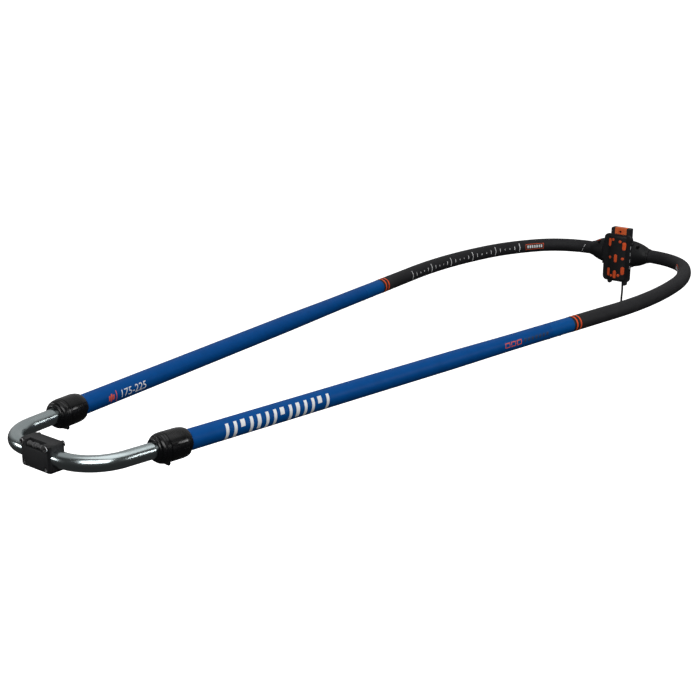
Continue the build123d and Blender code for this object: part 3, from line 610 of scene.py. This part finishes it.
def make_arms(look, fore_look):
    """Arm tubes, each with its film's raised edge and a paler stretch under the clear sleeve at the neck."""
    for side, word in SIDES:
        rear = [(d, arm_radius(d)) for d in steps_between(0.0095, FILM_EDGE - 0.0012, 0.006)]
        lip = [(FILM_EDGE - 0.0008, NECK_R + 0.00012), (FILM_EDGE, NECK_R + 0.00016),
               (FILM_EDGE + 0.0004, NECK_R)]
        profile = wall(rear + lip + [(FILM_EDGE + 0.0012, NECK_R - 0.0001)], 0.0142)
        swept(f"arm_{word}", profile, along_arm(side), look, "wishbone", [f"arm_tube_{word}"])
        neck = [(d, NECK_R - 0.00008) for d in steps_between(FILM_EDGE + 0.0006, GRIP_EDGE, 0.006)]
        swept(f"arm_neck_{word}", wall(neck, 0.0142), along_arm(side), fore_look, "wishbone")


def grip_profile():
    """Outer profile of a grip from the head to its rear edge, with a shallow seat for each band."""
    start, end = FRONT_HALF + 0.0003, MOUTH_S - GRIP_EDGE
    points = [(start, GRIP_R - 0.0006), (start + 0.0008, GRIP_R - 0.0001)]
    seats = sorted(MOUTH_S - GRIP_EDGE - offset for offset in BAND_OFFSETS)
    marks = [start + 0.002]
    for seat in seats:
        points += [(s, GRIP_R) for s in steps_between(marks[-1], seat - BAND_WIDTH - 0.0006, 0.0045)]
        points += [(seat - BAND_WIDTH - 0.0001, GRIP_R - 0.0004), (seat + 0.0001, GRIP_R - 0.0004)]
        marks.append(seat + 0.0006)
    points += [(s, GRIP_R) for s in steps_between(marks[-1], end - 0.0012, 0.003)]
    return points + [(end - 0.0004, GRIP_R - 0.0002), (end, GRIP_R - 0.0008)]


def make_grips(look, band_look):
    """Foam grips with a bonded seam underneath, and the two coloured bands at each rear end."""
    seam = (60, 0.00045)  # point of the ring, and depth
    crown = [(0.0, -0.0002), (0.0004, 0.0001), (0.0020, 0.00022), (0.0036, 0.0001), (0.0040, -0.0002)]
    for side, word in SIDES:
        swept(f"grip_{word}_foam", wall(grip_profile(), 0.0142), along_plan(side), look, "wishbone",
              [f"grip_{word}"], segments=96, dip=seam)
        for number, offset in enumerate(BAND_OFFSETS):
            low = GRIP_EDGE + offset
            profile = wall([(low + d, GRIP_R + r) for d, r in crown], 0.0151)
            swept(f"grip_band_{word}_{number + 1}", profile, along_arm(side), band_look, "wishbone",
                  ["grip_bands"], segments=96)


def tail_line():
    """Centre line of the tail tube, from inside the right collar to inside the left: (centre, outward)."""
    bend = math.pi / 2.0 - ARM_ANGLE
    split_y = TAIL_Y + TAIL_BEND_R
    arm_x = plan_frame(MOUTH_S, 1.0)[0].x
    bend_y = split_y - TAIL_BEND_R * math.cos(bend)
    bend_x = arm_x - (MOUTH_Y - bend_y) * math.tan(ARM_ANGLE)
    middle_x = bend_x - TAIL_BEND_R * math.sin(bend)
    down = Vector((-math.sin(ARM_ANGLE), -math.cos(ARM_ANGLE), 0.0))
    top = Vector((arm_x, MOUTH_Y, 0.0)) - TAIL_INSIDE * down
    straight = (Vector((bend_x, bend_y, 0.0)) - top).length
    out = Vector((math.cos(ARM_ANGLE), -math.sin(ARM_ANGLE), 0.0))
    half = [(top + s * down, out) for s in steps_between(0.0, straight, 0.0025)]
    hub = Vector((middle_x, TAIL_Y + TAIL_BEND_R, 0.0))
    for angle in steps_between(ARM_ANGLE, math.pi / 2.0, math.radians(2.0))[1:]:
        ray = Vector((math.cos(angle), -math.sin(angle), 0.0))
        half.append((hub + TAIL_BEND_R * ray, ray))
    across = steps_between(middle_x, 0.0, 0.004)[1:]
    half += [(Vector((x, TAIL_Y, 0.0)), Vector((0.0, -1.0, 0.0))) for x in across]
    mirror = [(Vector((-c.x, c.y, 0.0)), Vector((-o.x, o.y, 0.0))) for c, o in reversed(half[:-1])]
    return half + mirror


def make_tail_tube(look):
    """The tail tube as one piece, between the collars and the bow."""
    line = tail_line()
    travelled, distances = 0.0, [0.0]
    for before, after in zip(line, line[1:]):
        travelled += (after[0] - before[0]).length
        distances.append(travelled)
    frames = {round(d, 6): pair for d, pair in zip(distances, line)}
    profile = wall([(round(d, 6), TAIL_R) for d in distances], TAIL_R - 0.0016)
    piece = swept("tail_tube", profile, lambda d: frames[d], look, None, segments=72)
    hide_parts("tail_bow", "tail_leg_right", "tail_leg_left")
    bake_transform(piece)


# ------------ printed marks

INK_RISE, INK_ROOT = 0.00007, 0.00012  # the ink film's top above the tube and its foot inside it
GRIP_TICKS = (0.280, 0.359, 0.442, 0.526, 0.607, 0.693)  # long ticks along the grip, from the front's middle


def mark_place(side, face, x, y, start, radius):
    """Distance and angle of a printed point: x to the reader's right from start, y up from the middle."""
    reader_right = -1.0 if (side > 0.0) == (face == "outer") else 1.0
    angle = y / radius if face == "outer" else math.pi - y / radius
    return start + reader_right * x, angle


def slab(points_x, points_y, corner, slant, side, face, start):
    """Vertices and faces of a thin printed film over a grid, wrapped on a tube."""
    verts, faces = [], []
    columns, rows = len(points_x), len(points_y)
    for lift in (INK_RISE, -INK_ROOT):
        for x in points_x:
            for y in points_y:
                across, above = corner[0] + x + slant * y, corner[1] + y
                s, angle = mark_place(side, face, across, above, start, radius_at(start))
                verts.append(on_tube(s, angle, radius_at(s) + lift, side))
    def at(layer, i, j):
        return layer * columns * rows + i * rows + j
    for i in range(columns - 1):
        for j in range(rows - 1):
            for layer in (0, 1):
                faces.append((at(layer, i, j), at(layer, i + 1, j),
                              at(layer, i + 1, j + 1), at(layer, i, j + 1)))
    for i in range(columns - 1):
        for j in (0, rows - 1):
            faces.append((at(0, i, j), at(0, i + 1, j), at(1, i + 1, j), at(1, i, j)))
    for j in range(rows - 1):
        for i in (0, columns - 1):
            faces.append((at(0, i, j), at(0, i, j + 1), at(1, i, j + 1), at(1, i, j)))
    return verts, faces


def print_bars(name, bars, side, face, start, look):
    """Printed bars as one piece. Each is (x, y, width, height, slant) in metres, slant along x per y."""
    verts, faces = [], []
    for x, y, width, height, slant in bars:
        xs = steps_between(-width / 2.0, width / 2.0, 0.004)
        ys = steps_between(-height / 2.0, height / 2.0, 0.0012)
        more_verts, more_faces = slab(xs, ys, (x, y), slant, side, face, start)
        faces += [tuple(k + len(verts) for k in f) for f in more_faces]
        verts += more_verts
    make_piece(name, verts, faces, look, "wishbone", sharp=60.0)


def radius_at(s):
    """Outer radius of the grip or the arm at a distance from the front's middle."""
    return GRIP_R if s < MOUTH_S - GRIP_EDGE else arm_radius(MOUTH_S - s)


def make_ruler(look):
    """Harness ruler on each grip's inner side: long ticks with two short ones and two dots between them."""
    for side, word in SIDES:
        bars = [(side * place, 0.0022, 0.0019, 0.0215, 0.0) for place in GRIP_TICKS]
        for place, after in zip(GRIP_TICKS, GRIP_TICKS[1:]):
            fifths = [side * (place + k * (after - place) / 5.0) for k in range(5)]
            bars += [(fifths[k], 0.0022, 0.0018, 0.0085, 0.0) for k in (1, 4)]
            bars += [(fifths[k], 0.0022, 0.0020, 0.0034, 0.0) for k in (2, 3)]
        print_bars(f"ruler_{word}", bars, side, "inner", 0.0, look)


def make_grip_strokes(look):
    """Two short slanted strokes on the left grip, beside the head's wing."""
    strokes = [(-0.0935, 0.0052, 0.0012, 0.0080, 0.45), (-0.0990, -0.0052, 0.0012, 0.0075, 0.45)]
    print_bars("grip_strokes_left", strokes, -1.0, "inner", 0.0, look)


def make_grip_tab(frame_look, dash_look):
    """A small framed row of dashes on each grip between the ruler and the head."""
    for side, word in SIDES:
        middle, long, tall, line = 0.235, 0.052, 0.0130, 0.0012
        edges = [(side * middle, 0.0015 + k * tall / 2.0, long, line, 0.0) for k in (-1.0, 1.0)]
        edges += [(side * (middle + k * long / 2.0), 0.0015, line, tall + line, 0.0) for k in (-1.0, 1.0)]
        print_bars(f"grip_tab_frame_{word}", edges, side, "inner", 0.0, frame_look)
        dashes = [(side * (middle + (k - 3) * 0.0066), 0.0015, 0.0042, 0.0068, 0.0) for k in range(7)]
        print_bars(f"grip_tab_dashes_{word}", dashes, side, "inner", 0.0, dash_look)


def make_arm_bars(look):
    """Big pale wave of upright bars on each arm's outer side, near the collar."""
    count, pitch, top = 14, 0.0160, 0.0145
    bars = []
    for k in range(count):
        tall = (0.036, 0.036, 0.012, 0.036, 0.024)[k % 5]
        width = (0.0060, 0.0060, 0.0085, 0.0060, 0.0075)[k % 5]
        bars.append(((k + 0.5) * pitch, top - tall / 2.0, width, tall, 0.13))
    for side, word in SIDES:
        near = 0.114 if side > 0.0 else 0.114 + count * pitch
        start = MOUTH_S - near
        print_bars(f"arm_bars_{word}", bars, side, "outer", start, look)


def make_size_mark(pale, orange):
    """The tail's length range in centimetres on each arm's inner side, beside an orange mark."""
    for side, word in SIDES:
        begin = MOUTH_S - (0.092 if side < 0.0 else 0.222)
        blocks = [(0.0165 + 0.0048 * k, 0.0, 0.0034, 0.0085 + 0.0045 * (k % 2), 0.10) for k in range(3)]
        print_bars(f"size_mark_{word}", blocks, side, "inner", begin, orange)
        divider = [(0.0335, 0.0, 0.0014, 0.0195, 0.0)]
        print_bars(f"size_divider_{word}", divider, side, "inner", begin, orange)
        print_number(f"size_number_{word}", "175-225", 0.0200, (0.042, -0.0068), side, "inner", begin, pale)


def print_number(name, text, height, corner, side, face, start, look):
    """Printed figures wrapped on an arm; corner is where the first one's lower left goes."""
    curve = bpy.data.curves.new(name + "_curve", "FONT")
    curve.body = text
    curve.size = height
    curve.resolution_u = 4
    work = mesh_of(curve)
    for level in steps_between(0.0, height, 0.0009)[1:-1]:
        everything = work.verts[:] + work.edges[:] + work.faces[:]
        bmesh.ops.bisect_plane(work, geom=everything, plane_co=(0.0, level, 0.0), plane_no=(0.0, 1.0, 0.0))
    bmesh.ops.triangulate(work, faces=work.faces)
    solid = bmesh.ops.extrude_face_region(work, geom=work.faces[:])
    lower = {v for v in solid["geom"] if isinstance(v, bmesh.types.BMVert)}
    for vertex in work.verts:
        lift = -INK_ROOT if vertex in lower else INK_RISE
        s, angle = mark_place(side, face, corner[0] + vertex.co.x, corner[1] + vertex.co.y, start, ARM_R)
        vertex.co = on_tube(s, angle, radius_at(s) + lift, side)
    make_piece(name, *lists_of(work, 1e-7), look, "wishbone", sharp=60.0)


def make_neck_label(orange, shade):
    """Three orange outlined boxes and a long dark dash on each arm's outer side, behind the neck."""
    for side, word in SIDES:
        begin = MOUTH_S - (0.776 if side > 0.0 else 0.906)
        long, tall, line = 0.0135, 0.0098, 0.0016
        bars = []
        for k in range(3):
            middle = 0.009 + k * 0.0168
            bars += [(middle, 0.0025 + m * (tall - line) / 2.0, long, line, 0.0) for m in (-1.0, 1.0)]
            bars += [(middle + m * (long - line) / 2.0, 0.0025, line, tall, 0.0) for m in (-1.0, 1.0)]
        print_bars(f"neck_label_{word}", bars, side, "outer", begin, orange)
        dash = [(0.060 + k * 0.0110, 0.0025, 0.0070, 0.0070, 0.25) for k in range(7)]
        print_bars(f"neck_dashes_{word}", dash, side, "outer", begin, shade)


# ------------ collars and clips

def make_collar(side, word, look):
    """Collar at the arm's mouth: bezel, ringed end, upper shell and sleeve. The clip is its lower half."""
    frame_at = along_arm(side)
    bezel = [(-0.0040, 0.0136), (-0.0040, 0.0168), (-0.0032, 0.0180), (-0.0018, 0.0188), (-0.0004, 0.0190),
             (-0.0002, 0.0186)]
    swept(f"collar_bezel_{word}", wall(bezel, 0.0130), frame_at, look, "wishbone",
          [f"collar_ring_{word}"], sharp=50.0)
    end = [(0.0002, 0.0196), (0.0006, 0.0208), (0.0022, 0.0219), (0.0040, 0.0227), (0.0044, 0.0223),
           (0.0050, 0.0223), (0.0054, 0.0230), (0.0082, 0.0237), (0.0086, 0.0233), (0.0092, 0.0233),
           (0.0096, 0.0238), (0.0132, 0.0240), (0.0137, 0.0236)]
    swept(f"collar_end_{word}", wall(end, 0.0134), frame_at, look, "wishbone", [f"collar_{word}"], sharp=40.0)
    sleeve = [(0.0138, 0.0182), (0.0552, 0.0182), (0.0560, 0.0176)]
    swept(f"collar_sleeve_{word}", wall(sleeve, 0.0169), frame_at, look, "wishbone")
    first, last = -1.5, 181.5
    outline = [(0.0144, 0.0240), (0.0146, 0.0240), (0.0158, 0.0240), (0.0290, 0.0240), (0.0400, 0.0239),
               (0.0435, 0.0237), (0.0445, 0.0235), (0.0490, 0.0228), (0.0520, 0.0218), (0.0545, 0.0206),
               (0.0560, 0.0192)]
    stations = [(d, 0.0183, r, first, last) for d, r in outline]
    angles = sorted(set(steps_between(first, last, 4.5) + [m for e in RIDGE_ANGLES for m in (e, 180.0 - e)]))
    shares = [(angle - first) / (last - first) for angle in angles]
    upper = shell(f"collar_shell_{word}", stations, side, look, "wishbone",
                  shares=shares, relief=collar_relief)
    round_edges(upper, 0.0005)


def collar_relief(distance, angle):
    """Lip with a groove above it along each side of the upper shell, deepest in a notch at the grip end."""
    angle = min(angle, 180.0 - angle)
    fade = min(1.0, max(0.0, (distance - 0.0146) / 0.0012))
    if 28.9 < angle < 31.5:
        return -fade * (0.0030 if distance > 0.0442 else 0.0013)
    if 19.0 < angle < 28.5:
        return fade * 0.0006 * (1.0 - max(0.0, distance - 0.0435) / 0.0125)
    return 0.0


def make_clip(side, word, look):
    """Clip: the collar's hinged lower half, with a finger notch at the grip end of its upper edges."""
    outline = [(0.0144, 0.0215, 1.0), (0.0162, 0.0234, 1.0), (0.0180, 0.0240, 1.0), (0.0300, 0.0241, 1.0),
               (0.0410, 0.0240, 1.0), (0.0448, 0.0237, 1.4),
               (0.0456, 0.0236, 12.0), (0.0485, 0.0231, 16.0), (0.0505, 0.0224, 24.0), (0.0522, 0.0214, 36.0),
               (0.0530, 0.0204, 50.0)]
    stations = [(d, 0.0187, r, 180.0 + lift + 1.4, 360.0 - lift - 1.4) for d, r, lift in outline]
    plate = shell(f"clip_shell_{word}", stations, side, look, f"{word}_clip", [f"clip_{word}"])
    round_edges(plate, 0.0007)


# ------------ mast pad and studs

PAD_CROWN, PAD_BACK = 0.050, 0.0065  # radius of the pad's crowned face and the plane of its back
PAD_LOW, PAD_HIGH, PAD_HALF = -0.067, 0.043, 0.0246
PILL, DOT = (0.0082, 0.0200), (0.0070, 0.0070)
STUDS = ((-0.0185, 0.0255, PILL), (-0.0090, 0.0335, DOT), (0.0095, 0.0300, DOT), (0.0195, 0.0195, PILL),
         (-0.0162, -0.0113, DOT), (0.0, -0.0120, PILL), (0.0175, -0.0115, DOT), (-0.0190, -0.0480, PILL),
         (-0.0100, -0.0560, DOT), (-0.0005, -0.0520, PILL), (0.0090, -0.0535, DOT), (0.0187, -0.0415, PILL))
STUD_PROUD, STUD_ROOT = 0.0006, 0.0014
STUD_LOOPS = ((0.0, -STUD_ROOT), (0.0, 0.00005), (0.00008, 0.00032), (0.00030, 0.00050),
              (0.00075, STUD_PROUD), (0.00180, STUD_PROUD + 0.00012), (0.00320, STUD_PROUD + 0.00016))


def crown_y(x):
    """The pad face's depth behind its crest at a distance from the middle."""
    return PAD_CROWN - math.sqrt(PAD_CROWN ** 2 - x ** 2)


def stadium(width, height, count=40):
    """Outline points of an upright pill."""
    radius, reach = width / 2.0, (height - width) / 2.0
    points = []
    for k in range(count):
        angle = math.tau * k / count
        rise = math.copysign(reach, math.sin(angle + 1e-9))
        points.append((radius * math.cos(angle), radius * math.sin(angle) + rise))
    return points


def make_studs(look):
    """Soft studs with rounded rims, standing a little proud of the pad."""
    verts, faces = [], []
    for x, z, (width, height) in STUDS:
        base = len(verts)
        for inset, proud in STUD_LOOPS:
            loop = stadium(width - 2.0 * inset, height - 2.0 * inset)
            verts += [(x + u, crown_y(x + u) - proud, z + v) for u, v in loop]
        count = len(stadium(width, height))
        for ring in range(len(STUD_LOOPS) - 1):
            for k in range(count):
                a, b = base + ring * count + k, base + ring * count + (k + 1) % count
                faces.append((a, b, b + count, a + count))
        top = base + (len(STUD_LOOPS) - 1) * count
        faces.append(tuple(range(base, base + count)))
        faces.append(tuple(range(top, top + count)))
    make_piece("pad_stud_set", verts, faces, look, "wishbone", ["pad_studs"])


def stud_distance(x, z):
    """Distance from a point on the pad's face to the nearest stud's edge."""
    nearest = 1.0
    for sx, sz, (width, height) in STUDS:
        reach = (height - width) / 2.0
        dz = max(0.0, abs(z - sz) - reach)
        nearest = min(nearest, math.hypot(x - sx, dz) - width / 2.0)
    return nearest


def pad_face_y(x, z):
    """Pad face: crowned, rolled over at its top and foot, with a raised lip and a moat round each stud."""
    edge = min(PAD_HIGH - z, z - PAD_LOW)
    roll = 0.0016 * (1.0 - min(1.0, edge / 0.0045)) ** 2
    lip = stud_distance(x, z)
    moat = 0.00035 if 0.0 < lip < 0.0005 else 0.0
    ridge = 0.00022 * max(0.0, 1.0 - abs(lip - 0.0012) / 0.0006)
    groove = 0.0004 if abs(abs(x) - 0.0238) < 0.0003 else 0.0
    return min(PAD_BACK - 0.0001, max(0.0, crown_y(x) + roll + moat + groove - ridge))


def make_pad(look):
    """Rubber mast pad."""
    xs = steps_between(-PAD_HALF, PAD_HALF, 0.00045)
    zs = steps_between(PAD_LOW, PAD_HIGH, 0.00065)
    verts = [(x, pad_face_y(x, z), z) for x in xs for z in zs] + [(x, PAD_BACK, z) for x in xs for z in zs]
    faces, tall, layer = [], len(zs), len(xs) * len(zs)
    for i in range(len(xs) - 1):
        for j in range(tall - 1):
            a = i * tall + j
            quad = (a, a + 1, a + tall + 1, a + tall)
            faces += [quad, tuple(v + layer for v in quad)]
    border = [(i * tall, (i + 1) * tall) for i in range(len(xs) - 1)]
    border += [(i * tall + tall - 1, (i + 1) * tall + tall - 1) for i in range(len(xs) - 1)]
    border += [(j, j + 1) for j in range(tall - 1)]
    border += [(layer - tall + j, layer - tall + j + 1) for j in range(tall - 1)]
    faces += [(a, b, b + layer, a + layer) for a, b in border]
    make_piece("mast_pad_face", verts, faces, look, "wishbone", ["mast_pad"], sharp=50.0)


def rounded_bar(name, centre, size, turn, look, body, width=0.0004):
    """Small bar with rounded edges: centre and size in metres, turned in degrees about Y."""
    verts, faces = [], [(0, 1, 3, 2), (4, 5, 7, 6), (0, 1, 5, 4), (2, 3, 7, 6), (0, 2, 6, 4), (1, 3, 7, 5)]
    swing = math.radians(turn)
    for dx in (-0.5, 0.5):
        for dy in (-0.5, 0.5):
            for dz in (-0.5, 0.5):
                u, w = dx * size[0], dz * size[2]
                across = u * math.cos(swing) + w * math.sin(swing)
                above = w * math.cos(swing) - u * math.sin(swing)
                verts.append(Vector(centre) + Vector((across, dy * size[1], above)))
    round_edges(make_piece(name, verts, faces, look, body), width)


HIGHLIGHT_TAB_PLACES = (0.0170, 0.0015, -0.0150, -0.0310)  # painted highlights: pale tabs on the plate's right-hand edge, standing for light caught on rib ends


def make_head_trim(pale, dark, orange):
    """Painted highlights as pale tabs along the plate's edge, a near-black disc of painted shade in the
    catch's recess, and the mark on the left wing.
    """
    # painted highlights: grey bars stand for light caught on the ends of the plate's ribs
    for number, z in enumerate(HIGHLIGHT_TAB_PLACES):
        rounded_bar(f"plate_tab_{number + 1}", (0.0354, 0.0078, z), (0.0014, 0.0022, 0.0082), 0.0,
                    pale, "wishbone")
    # painted shade: a near-black disc stands for the shade inside the catch's notch
    rounded_bar("catch_painted_shade", (-0.0015, 0.0247, 0.0500), (0.0066, 0.0008, 0.0066), 0.0,
                dark, "lever_catch", 0.0003)
    rounded_bar("wing_mark", (-0.0560, 0.0167, 0.0237), (0.0120, 0.0022, 0.0015), -21.0,
                orange, "wishbone", 0.0005)


def pin_profile(start, end):
    """(distance, radius) points of a short rod with chamfered ends."""
    low, high, cut = 0.0026, 0.0032, 0.0006
    return [(start, 0.0), (start, low), (start + cut, high), (end - cut, high), (end, low), (end, 0.0)]


def make_hinge_lugs(side, word, look):
    """Lugs on the collar and the knuckle on the clip, on the hinge pin's axis under the arm."""
    centre, outward = along_arm(side)(HINGE_PLACE)
    axis_point = centre - Vector((0.0, 0.0, HINGE_DEPTH))
    lug = pin_profile(-0.0132, -0.0094)
    knuckle = pin_profile(-0.0090, 0.0090)
    lathe(f"hinge_knuckle_{word}", knuckle, axis_point, outward, look, f"{word}_clip")
    lathe(f"hinge_lug_a_{word}", lug, axis_point, outward, look, "wishbone")
    lathe(f"hinge_lug_b_{word}", [(-d, r) for d, r in reversed(lug)], axis_point, outward, look, "wishbone")


def lathe(name, profile, origin, axis, look, body, segments=28):
    """Solid turned about an axis: (distance along it, radius) points whose ends lie on the axis."""
    beside = axis.cross(UP).normalized()
    verts = [origin + profile[0][0] * axis]
    for distance, radius in profile[1:-1]:
        for j in range(segments):
            verts.append(on_ring(origin + distance * axis, beside, radius, math.tau * j / segments))
    verts.append(origin + profile[-1][0] * axis)
    faces, last = [], len(verts) - 1
    rings = len(profile) - 2
    for j in range(segments):
        after = (j + 1) % segments
        faces.append((0, 1 + j, 1 + after))
        for ring in range(rings - 1):
            a, b = 1 + ring * segments + j, 1 + ring * segments + after
            faces.append((a, b, b + segments, a + segments))
        faces.append((last, last - segments + j, last - segments + after))
    make_piece(name, verts, faces, look, body)


SPRING_FOOT = Vector((0.0, 0.0260, 0.03848))  # middle of the lowest turn's wire
SPRING_LENGTH, SPRING_R, SPRING_WIRE, SPRING_TURNS = 0.00649, 0.0017, 0.00033, 4.5


def make_catch_spring(look):
    """Coil spring under the catch."""
    curve = bpy.data.curves.new("catch_spring_curve", "CURVE")
    curve.dimensions = "3D"
    turns = steps_between(0.0, SPRING_TURNS, 1.0 / 24.0)
    spline = curve.splines.new("POLY")
    spline.points.add(len(turns) - 1)
    for point, turn in zip(spline.points, turns):
        beside = Vector((math.cos(math.tau * turn), math.sin(math.tau * turn), 0.0))
        place = SPRING_FOOT + SPRING_R * beside + SPRING_LENGTH * turn / SPRING_TURNS * UP
        point.co = (*place, 1.0)
    curve.bevel_depth = SPRING_WIRE
    curve.bevel_resolution = 3
    curve.use_fill_caps = True
    spring = make_piece("catch_spring_coil", *lists_of(mesh_of(curve), 1e-6), look, "head_lever",
                        ["catch_spring"])
    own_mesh(spring)


# ------------ line and knot

LINE_R = 0.0025
LINE_ROUTE = ((0.0140, 0.0176, -0.0662), (0.0140, 0.0176, -0.0800), (0.0149, 0.0168, -0.0950),
              (0.0136, 0.0175, -0.1110), (0.0143, 0.0166, -0.1260), (0.0140, 0.0169, -0.1380))


def make_line(look):
    """The clamp line's free tail, hanging from its ferrule, and the stopper knot on its end."""
    curve = bpy.data.curves.new("clamp_line_curve", "CURVE")
    curve.dimensions = "3D"
    spline = curve.splines.new("NURBS")
    spline.points.add(len(LINE_ROUTE) - 1)
    for point, place in zip(spline.points, LINE_ROUTE):
        point.co = (*place, 1.0)
    spline.order_u = 3
    spline.use_endpoint_u = True
    spline.resolution_u = 12
    curve.bevel_depth = LINE_R
    curve.bevel_resolution = 5
    curve.use_fill_caps = True
    curve.materials.append(look)
    cord = placed("clamp_line_cord", curve)
    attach(cord, "wishbone")
    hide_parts("clamp_line")
    knot = make_knot(look)


def make_knot(look):
    """Stopper knot: the line wound through itself three times."""
    end = Vector(LINE_ROUTE[-1])
    middle = end - 0.0055 * UP
    curve = bpy.data.curves.new("line_knot_curve", "CURVE")
    curve.dimensions = "3D"
    spline = curve.splines.new("NURBS")
    count = 26
    spline.points.add(count - 1)
    for k in range(count):
        turn = math.tau * k / count
        wide = 0.0020 + 0.0008 * math.cos(3.0 * turn)
        high = 0.0030 * math.sin(3.0 * turn)
        place = middle + Vector((wide * math.cos(2.0 * turn), wide * math.sin(2.0 * turn), high))
        spline.points[k].co = (*place, 1.0)
    spline.order_u = 4
    spline.use_cyclic_u = True
    spline.resolution_u = 6
    curve.bevel_depth = 0.0021
    curve.bevel_resolution = 4
    curve.materials.append(look)
    knot = placed("line_knot_turns", curve)
    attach(knot, "wishbone")
    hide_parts("line_knot")
    return knot


# ------------ assembly

def paint(look, *nodes):
    """Gives CAD nodes their material."""
    for name in nodes:
        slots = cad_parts[name].material_slots
        for place in slots:
            place.material = look


def both(name):
    """A node's right and left names."""
    return [f"{name}_right", f"{name}_left"]


def make_boom():
    blue = lacquer("arm_blue", (0.0002, 0.070, 0.280))
    blue_fore = lacquer("arm_blue_fore", (0.0003, 0.084, 0.315))
    orange = rubber("band_orange", (0.80, 0.085, 0.014), 1.2)
    alloy = polished_tube()
    black = gloss("collar_gloss", (0.0035, 0.0036, 0.0042))
    plastic = moulded("head_plastic", (0.0075, 0.0078, 0.0090), specular=0.28)
    pin_steel = steel()
    dark_steel = steel("steel_black", (0.035, 0.035, 0.037))
    # painted shade: near-black material for the disc that stands for shade in the catch's notch
    painted_shade_black = moulded("recess_painted_shade", (0.004, 0.004, 0.004), edge=0.0)
    line_look = braid()
    white_ink = ink("ink_white", (0.82, 0.83, 0.84))
    # painted highlight: grey ink for the pale tabs that stand for light on the plate's rib ends
    highlight_grey_ink = ink("painted_highlight_grey", (0.45, 0.46, 0.47))
    orange_ink = ink("ink_orange", (0.80, 0.10, 0.03))
    shade_ink = ink("ink_shade", (0.010, 0.035, 0.11))
    make_line(line_look)
    make_arms(blue, blue_fore)
    make_grips(foam(), orange)
    make_tail_tube(alloy)
    make_ruler(white_ink)
    make_grip_strokes(white_ink)
    make_grip_tab(orange_ink, white_ink)
    make_arm_bars(white_ink)
    make_size_mark(white_ink, orange_ink)
    make_neck_label(orange_ink, shade_ink)
    for side, word in SIDES:
        make_collar(side, word, black)
        make_clip(side, word, black)
        make_hinge_lugs(side, word, black)
    make_pad(rubber("pad_rubber", (0.0075, 0.0078, 0.0088)))
    make_studs(rubber("stud_orange", (0.82, 0.100, 0.020), 1.2))
    make_head_trim(highlight_grey_ink, painted_shade_black, orange_ink)
    paint(plastic, "head_body", "head_cap", "lever", "tail_block_rear", "tail_block_front")
    paint(dark_steel, "head_bolts", "head_nuts")
    make_catch_spring(pin_steel)
    paint(pin_steel, "lever_pin", "line_ferrule", "collar_screws",
          "clip_hinge_pins", "tail_screws", "line_eyes", "roller_axle", "arm_rivets", *both("lock_pin"))
    paint(moulded("bush_plastic", (0.03, 0.03, 0.032), edge=0.0), *both("collar_bush"), *both("leg_glide"))
    paint(moulded("roller_plastic", (0.05, 0.05, 0.052)), *both("roller"))
    paint(moulded("catch_orange", (0.83, 0.105, 0.020)), "catch")
    paint(rubber("liner_rubber", (0.02, 0.02, 0.02)), "tube_liner")
    paint(steel("tube_dark"), "front_tube")


make_camera()
bpy.context.scene.view_settings.view_transform = "Standard"
make_world()
make_floor()
make_lights()
make_boom()
